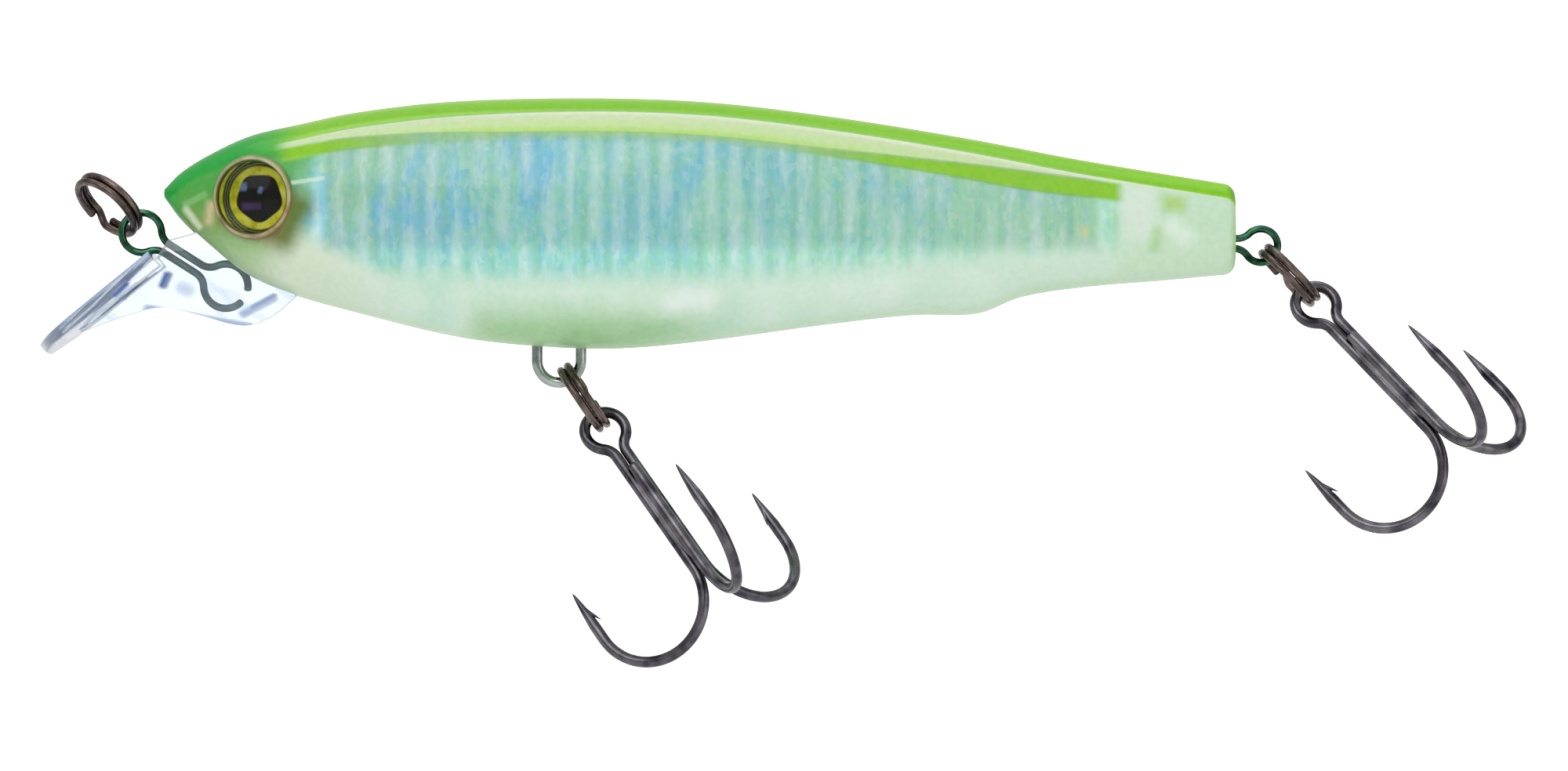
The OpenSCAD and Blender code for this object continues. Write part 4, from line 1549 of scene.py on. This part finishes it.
@dataclass
class FigureEight:
    """Wire with a closed eye outside and an open anchor loop inside the plastic."""

    name: str
    node: str
    eye: tuple[float, float]
    anchor: tuple[float, float]
    eye_r: float
    anchor_r: float
    wire: float = 0.5
    ends: tuple[float, float] = (25.0, 345.0)

    def path(self) -> list[Vector]:
        """Returns the wire's centreline in the frame.

        Returns:
            The wire's centreline in the frame.
        """
        dx, dz = self.anchor[0] - self.eye[0], self.anchor[1] - self.eye[1]
        length, lean = math.hypot(dx, dz), math.atan2(dz, dx)
        gap = self.wire / 2 + 0.08
        a, y = blend_angle(self.anchor_r, gap), gap + BLEND_R
        x = length - blend_x(self.anchor_r, gap)
        flat = (arc(length, 0, self.anchor_r, self.ends[0], 180 - a, 24)
                + arc(x, y, BLEND_R, -a, -90, 10)
                + [(x, gap)] + eye_loop(self.eye_r, gap) + arc(x, -y, BLEND_R, 90, a, 10)
                + arc(length, 0, self.anchor_r, 180 + a, self.ends[1], 24)
                + arc(length, 0, self.anchor_r, self.ends[1], self.ends[1] + 1, 1))
        return [at(self.eye[0] + u * math.cos(lean) - v * math.sin(lean), 0,
                   self.eye[1] + u * math.sin(lean) + v * math.cos(lean)) for u, v in flat]

    def build(self, material: bpy.types.Material) -> bpy.types.Object:
        """Returns the finished wire."""
        return bend_wire(self.name, self.node, self.path(), self.wire, material)


@dataclass
class Staple:
    """Belly hanger: a U of wire whose feet turn outwards inside the body."""

    x: float = 25.8
    radius: float = 1.43
    drop: float = 0.85
    wire: float = 0.72
    foot_z: float = -6.1
    foot_bend: float = 0.7
    foot_length: float = 0.8

    def path(self) -> list[Vector]:
        """Returns the wire's centreline in the frame.

        Returns:
            The wire's centreline in the frame.
        """
        eye_z = BODY.bottom(self.x) - self.drop
        high = self.foot_z - eye_z - self.foot_bend
        half = arc(0, 0, self.radius, 270, 360,
                   20) + [(self.radius, high * k / 6) for k in range(6)]
        half += arc(self.radius + self.foot_bend, high, self.foot_bend, 180, 90, 10)
        half += [(self.radius + self.foot_bend + self.foot_length * k, high + self.foot_bend)
                 for k in (0.0, 1.0)]
        whole = [(-u, v) for u, v in reversed(half[1:])] + half
        return [at(self.x + u, 0, eye_z + v) for u, v in whole]

    def build(self, material: bpy.types.Material) -> bpy.types.Object:
        """Returns the finished wire."""
        return bend_wire("hanger_belly", "belly_hanger", self.path(), self.wire, material)


@dataclass
class SplitRing:
    """Double-coil ring of flattened wire, stepped across at one place."""

    name: str
    body: str
    eye: tuple[float, float]
    dip: float
    hang: float
    roll: float = 0.0
    diameter: float = 5.1
    wire: float = 0.52
    step_angle: float = 16.0
    lay: float = 0.52
    steps: int = 150

    @property
    def radius(self) -> float:
        """Centreline radius."""
        return (self.diameter - self.wire) / 2

    def matrix(self) -> Matrix:
        """Returns the ring's frame, its axis along z, in metres."""
        out = spun(self.dip, "Y") @ moved(self.hang + self.radius)
        roll = spun(self.roll, "X") @ spun(90, "Z")
        return seated(self.eye) @ out @ roll

    def build(self, material: bpy.types.Material) -> bpy.types.Object:
        """Returns the finished ring.

        Args:
            material: Its finish.

        Returns:
            The piece.
        """
        lay = self.wire * self.lay
        start, end = self.step_angle, 720 - self.step_angle
        spots = []
        for i in range(self.steps + 1):
            turn = start + (end - start) * i / self.steps
            t = min(1.0, max(0.0, (turn - 360 + self.step_angle) / (2 * self.step_angle)))
            ease = t * t * (3 - 2 * t)
            a = math.radians(turn)
            spots.append(Vector((self.radius * math.cos(a), self.radius * math.sin(a),
                                 lay * (2 * ease - 1))) * MM)
        matrix = self.matrix()
        path, radii = rounded_ends([matrix @ p for p in spots], self.wire / 2 * MM)
        bm = bmesh.new()
        sweep(bm, path, radii, 14)
        return raise_piece(self.name, bm, material, self.body, [self.body])


@dataclass
class Treble:
    """Treble hook: a double hook bent round one eye, and a third hook brazed to its shank."""

    where: str
    eye: tuple[float, float]
    ring_dip: float
    ring_hang: float
    dip: float
    wire: float = 0.74
    reach: float = 15.4
    bend_r: float = 3.83
    point: float = 3.8
    taper: float = 2.6
    ring_r: float = 2.29
    hook_hang: float = 0.25
    lean: float = 19.0
    turn: float = 161.0
    eye_r: float = 1.36
    single_top: float = 3.4
    tip_r: float = 0.03
    needle: float = 0.72
    point_steps: int = 12
    bend_steps: int = 36
    braze_r: float = 0.235
    braze_steps: int = 40

    def __post_init__(self) -> None:
        """Works out the shank from the wire."""
        self.strand = (self.wire + 0.04) / math.sqrt(3)
        self.bend_z = self.reach - self.wire / 2 - self.bend_r

    def matrix(self) -> Matrix:
        """Returns the hook's frame: z down the shank from the eye, in metres.

        Returns:
            The hook's frame.
        """
        chain = spun(self.ring_dip, "Y") @ moved(self.ring_hang + 2 * self.ring_r)
        chain = chain @ spun(self.dip - self.ring_dip, "Y") @ moved(self.hook_hang)
        pose = spun(-90, "Y") @ spun(180, "X") @ spun(-self.lean, "X") @ spun(self.turn, "Z")
        return seated(self.eye) @ chain @ pose

    def limb(self, angle: float) -> list[tuple[Vector, float]]:
        """Returns one hook from its tip to the top of its bend: points and radii in millimetres.

        Args:
            angle: Its angle round the shank.

        Returns:
            The points and radii.
        """
        out = self.strand + 2 * self.bend_r
        around = ray(angle)
        up, thick = Vector((0, 0, 1)), self.wire / 2
        tip = self.bend_z - self.point
        rows = []
        for i in range(self.point_steps + 1):
            t = i / self.point_steps
            radius = self.tip_r + (thick - self.tip_r) * t ** self.needle
            rows.append((around * out + up * (tip + self.taper * t), radius))
        rows.append((around * out + up * (self.bend_z - 0.4), thick))
        for i in range(self.bend_steps + 1):
            a = math.pi * i / self.bend_steps
            side = around * (self.strand + self.bend_r * (1 + math.cos(a)))
            rows.append((side + up * (self.bend_z + self.bend_r * math.sin(a)), thick))
        return rows

    def shank(self, angle: float, top: float) -> list[tuple[Vector, float]]:
        """Returns a straight strand from the bend up to a height.

        Args:
            angle: Its angle round the shank.
            top: The height.

        Returns:
            The points and radii.
        """
        around, steps = ray(angle) * self.strand, 14
        heights = [self.bend_z + (top - self.bend_z) * i / steps for i in range(1, steps + 1)]
        return [(around + Vector((0, 0, z)), self.wire / 2) for z in heights]

    def barb(self, bm: bmesh.types.BMesh, angle: float) -> None:
        """Adds the cut barb inside the point of one hook.

        Args:
            bm: The mesh to add to.
            angle: The hook's angle.
        """
        out = self.strand + 2 * self.bend_r
        rows = ((0.10, 0.16, 1.45), (0.2, 0.15, 1.75), (0.38, 0.1, 2.1), (0.52, 0.05, 2.42),
                (0.6, 0.015, 2.62))
        around = ray(angle)
        tip = self.bend_z - self.point
        path = [around * (out - inward) + Vector((0, 0, tip + along)) for inward, _, along in rows]
        self.draw(bm, list(zip(path, [r for _, r, _ in rows])), 10)

    def draw(self, bm: bmesh.types.BMesh, rows: list[tuple[Vector, float]],
             sides: int = 16) -> None:
        """Sweeps a wire through rows of points and radii in millimetres."""
        place = self.matrix()
        sweep(bm, [place @ (p * MM) for p, _ in rows], [r * MM for _, r in rows], sides)

    def part(self, word: str, bm: bmesh.types.BMesh, finish: bpy.types.Material,
             replaces: Sequence[str] = ()) -> bpy.types.Object:
        """Returns one finished part of the hook."""
        body = f"{self.where}_hook"
        return raise_piece(f"{body}_{word}", bm, finish, body, replaces)

    def build(self, finishes: Workshop) -> list[bpy.types.Object]:
        """Returns the double hook, the single hook and the braze.

        Args:
            finishes: The lure's finishes.

        Returns:
            The three pieces.
        """
        slant = math.radians(30)
        gap, side = self.strand * math.cos(slant), self.strand * math.sin(slant)
        loop = [(Vector((v, side, u)), self.wire / 2) for u, v in eye_loop(self.eye_r, gap)]
        first = self.limb(30) + self.shank(30, loop[0][0].z + 0.5)
        last = self.shank(150, loop[-1][0].z + 0.5)[::-1] + self.limb(150)[::-1]
        double = bmesh.new()
        self.draw(double, first + loop + last)
        self.barb(double, 30)
        self.barb(double, 150)
        made = [self.part("double", double, finishes.hook, [f"{self.where}_double_hook"])]
        single = bmesh.new()
        ending = self.shank(270, self.single_top)
        tip = ending[-1][0]
        rounding = ((0.12, 0.47), (0.22, 0.36), (0.27, 0.16))
        ending += [(tip - Vector((0, 0, up)), self.wire * share) for up, share in rounding]
        self.draw(single, self.limb(270) + ending)
        self.barb(single, 270)
        made.append(self.part("single", single, finishes.hook, [f"{self.where}_single_hook"]))
        braze = bmesh.new()
        top, low = self.single_top + 0.25, self.bend_z - 0.6
        for angle in (210, 330, 90):
            around = ray(angle) * self.strand * 0.62
            rows = []
            for i in range(self.braze_steps + 1):
                t = i / self.braze_steps
                ends = min(1.0, 4 * t, 4 * (1 - t)) ** 0.5
                swell = ends * (1 + 0.12 * math.sin(9 * t * math.pi + angle))
                rows.append((around + Vector((0, 0, top + (low - top) * t)),
                             max(self.tip_r, self.braze_r * swell)))
            self.draw(braze, rows)
        made.append(self.part("braze", braze, finishes.braze))
        return made


# ---------------------------------------------------------------- assemblies


@dataclass
class Core:
    """Inner plate, weights, tubes and balls, kept as constructed and given their finishes."""

    finishes: Workshop

    def dress(self) -> None:
        """Gives each inner node its finish."""
        f = self.finishes
        wear = {"core_plate": f.core, "belly_weight": f.weight, "transfer_tube": f.tube,
                "tube_plug": f.tube,
                "transfer_ball": f.ball, "rattle_capsule": f.tube, "capsule_plug": f.tube,
                "rattle_balls": f.ball}
        for node, material in wear.items():
            piece = frame["nodes"][node]
            piece.data.materials.clear()
            piece.data.materials.append(material)
            LOG.info("%s keeps its constructed shape", node)


@dataclass
class Studio:
    """Pale sweep, soft lights and camera."""

    focal: float = 135.0
    sensor: float = 36.0
    view_width: float = 102.56
    look_at: tuple[float, float] = (40.51, -12.6)
    drop: float = 0.03
    sky_height: tuple[float, float] = (-0.6, 0.9)
    sky_light: tuple[float, float] = (0.26, 0.67)
    paper_glow: float = 0.7
    curve: float = 0.25

    def backdrop(self) -> None:
        """Adds a floor that curves up into a backdrop."""
        n = Nodes("studio_paper")
        tone = n.ramp(n.noise(18.0, 2.0), (0.4, "fcfcfc"), (0.6, "ffffff"))
        seen = n.add("ShaderNodeLightPath").outputs["Is Camera Ray"]
        material = n.finish(n.surface(Base_Color=tone, Roughness=0.9, Emission_Color="ffffff",
                                      Emission_Strength=n.times(seen, self.paper_glow)))
        low = CAD_BOX[0].z - self.drop
        middle = (CAD_BOX[0].x + CAD_BOX[1].x) / 2
        turns = [math.pi / 2 * i / 12 for i in range(1, 13)]
        rise = [(0.35 + self.curve * math.sin(a), self.curve - self.curve * math.cos(a))
                for a in turns]
        profile = [(-1.2, 0.0), (0.35, 0.0)] + rise + [(0.6, 1.4)]
        bm = bmesh.new()
        loft(bm, [[Vector((middle + side, y, low + z)) for y, z in profile]
                  for side in (-1.6, 1.6)], closed=False)
        mesh = meshed("paper", bm)
        mesh.materials.append(material)
        mesh.shade_smooth()
        sheet = placed("paper", mesh)

    def light(self, name: str, place: tuple[float, float, float], size: tuple[float, float],
              power: float) -> None:
        """Adds a soft panel aimed at the lure.

        Args:
            name: The light's name.
            place: Its place from the lure's middle, in metres.
            size: Width and height in metres.
            power: Power in watts.
        """
        data = bpy.data.lights.new(name, "AREA")
        data.shape, data.size, data.size_y, data.energy = "RECTANGLE", size[0], size[1], power
        lamp = placed(name, data)
        middle = (CAD_BOX[0] + CAD_BOX[1]) / 2
        lamp.location = middle + Vector(place)
        lamp.rotation_euler = (-Vector(place)).to_track_quat("-Z", "Y").to_euler()

    def build(self) -> None:
        """Sets the world, the lights and the camera."""
        world = bpy.data.worlds.new("studio_air")
        world.use_nodes = True
        air = Graph(world.node_tree)
        axes = air.add("ShaderNodeSeparateXYZ",
                       {0: air.add("ShaderNodeTexCoord").outputs["Generated"]})
        feeds = {"Value": axes.outputs[2],
                 "From Min": self.sky_height[0], "From Max": self.sky_height[1],
                 "To Min": self.sky_light[0], "To Max": self.sky_light[1]}
        sky = air.add("ShaderNodeMapRange", feeds)
        seen = air.add("ShaderNodeLightPath").outputs["Is Camera Ray"]
        share = air.add("ShaderNodeMix", {0: seen, 2: sky.outputs["Result"], 3: 1.0})
        back = air.add("ShaderNodeBackground", {0: "ffffff", 1: share.outputs[0]})
        air.add("ShaderNodeOutputWorld", {"Surface": back.outputs[0]})
        scene = bpy.context.scene
        scene.world = world
        scene.view_settings.view_transform = "Standard"
        scene.view_settings.look = "None"
        self.backdrop()
        self.light("key_panel", (-0.2, -0.45, 0.36), (0.5, 0.4), 1.15)
        self.light("fill_panel", (0.45, -0.36, 0.1), (0.4, 0.4), 0.5)
        self.light("top_panel", (0.0, 0.05, 0.5), (0.6, 0.3), 0.55)
        camera = bpy.data.cameras.new("camera")
        camera.lens, camera.sensor_width = self.focal, self.sensor
        camera.clip_start, camera.clip_end = 0.01, 20.0
        eye = placed("camera", camera)
        distance = self.view_width * MM / 2 / (self.sensor / 2 / self.focal)
        eye.location = at(self.look_at[0], 0, self.look_at[1]) - Vector((0, distance, 0))
        eye.rotation_euler = (math.pi / 2, 0, 0)
        scene.camera = eye


@dataclass
class Lure:
    """The whole lure."""

    finishes: Workshop

    def body(self) -> None:
        """Builds shells, foils, eyes and lip."""
        for side in Side:
            HalfShell(side, self.finishes).build()
            FoilPlate(side, self.finishes).build()
            DomedEye(side, self.finishes).build()
        DivingLip(self.finishes).build()

    def wires(self) -> None:
        """Builds the hangers, rings and hooks."""
        f = self.finishes
        staple, tail_eye = Staple(), (71.7, -3.45)
        belly = ((staple.x, BODY.bottom(staple.x) - staple.drop), 56, 0.6)
        tail = (tail_eye, 46, 0.4)
        FigureEight("tie_wire_form", "line_tie", TIE_EYE, (4.0, -6.1), 1.3, 1.45).build(f.tie)
        FigureEight("hanger_tail", "tail_hanger", tail_eye, (65.5, -2.9), 1.1, 1.15).build(f.tie)
        staple.build(f.hanger)
        SplitRing("split_ring_line", "line_ring", TIE_EYE, 220, 0.52, 27).build(f.ring)
        SplitRing("split_ring_belly", "belly_ring", *belly).build(f.ring)
        SplitRing("split_ring_tail", "tail_ring", *tail).build(f.ring)
        Treble("belly", *belly, 54.5).build(f)
        Treble("tail", *tail, 47.5).build(f)

    def build(self) -> None:
        """Builds every sub-assembly in order."""
        self.body()
        self.wires()
        Core(self.finishes).dress()


def main() -> None:
    """Builds the lure and its studio."""
    logging.basicConfig(level=logging.INFO, format="%(name)s: %(message)s")
    Studio().build()
    Lure(Workshop.open()).build()
    bpy.context.view_layer.update()


if __name__ == "__main__":
    main()
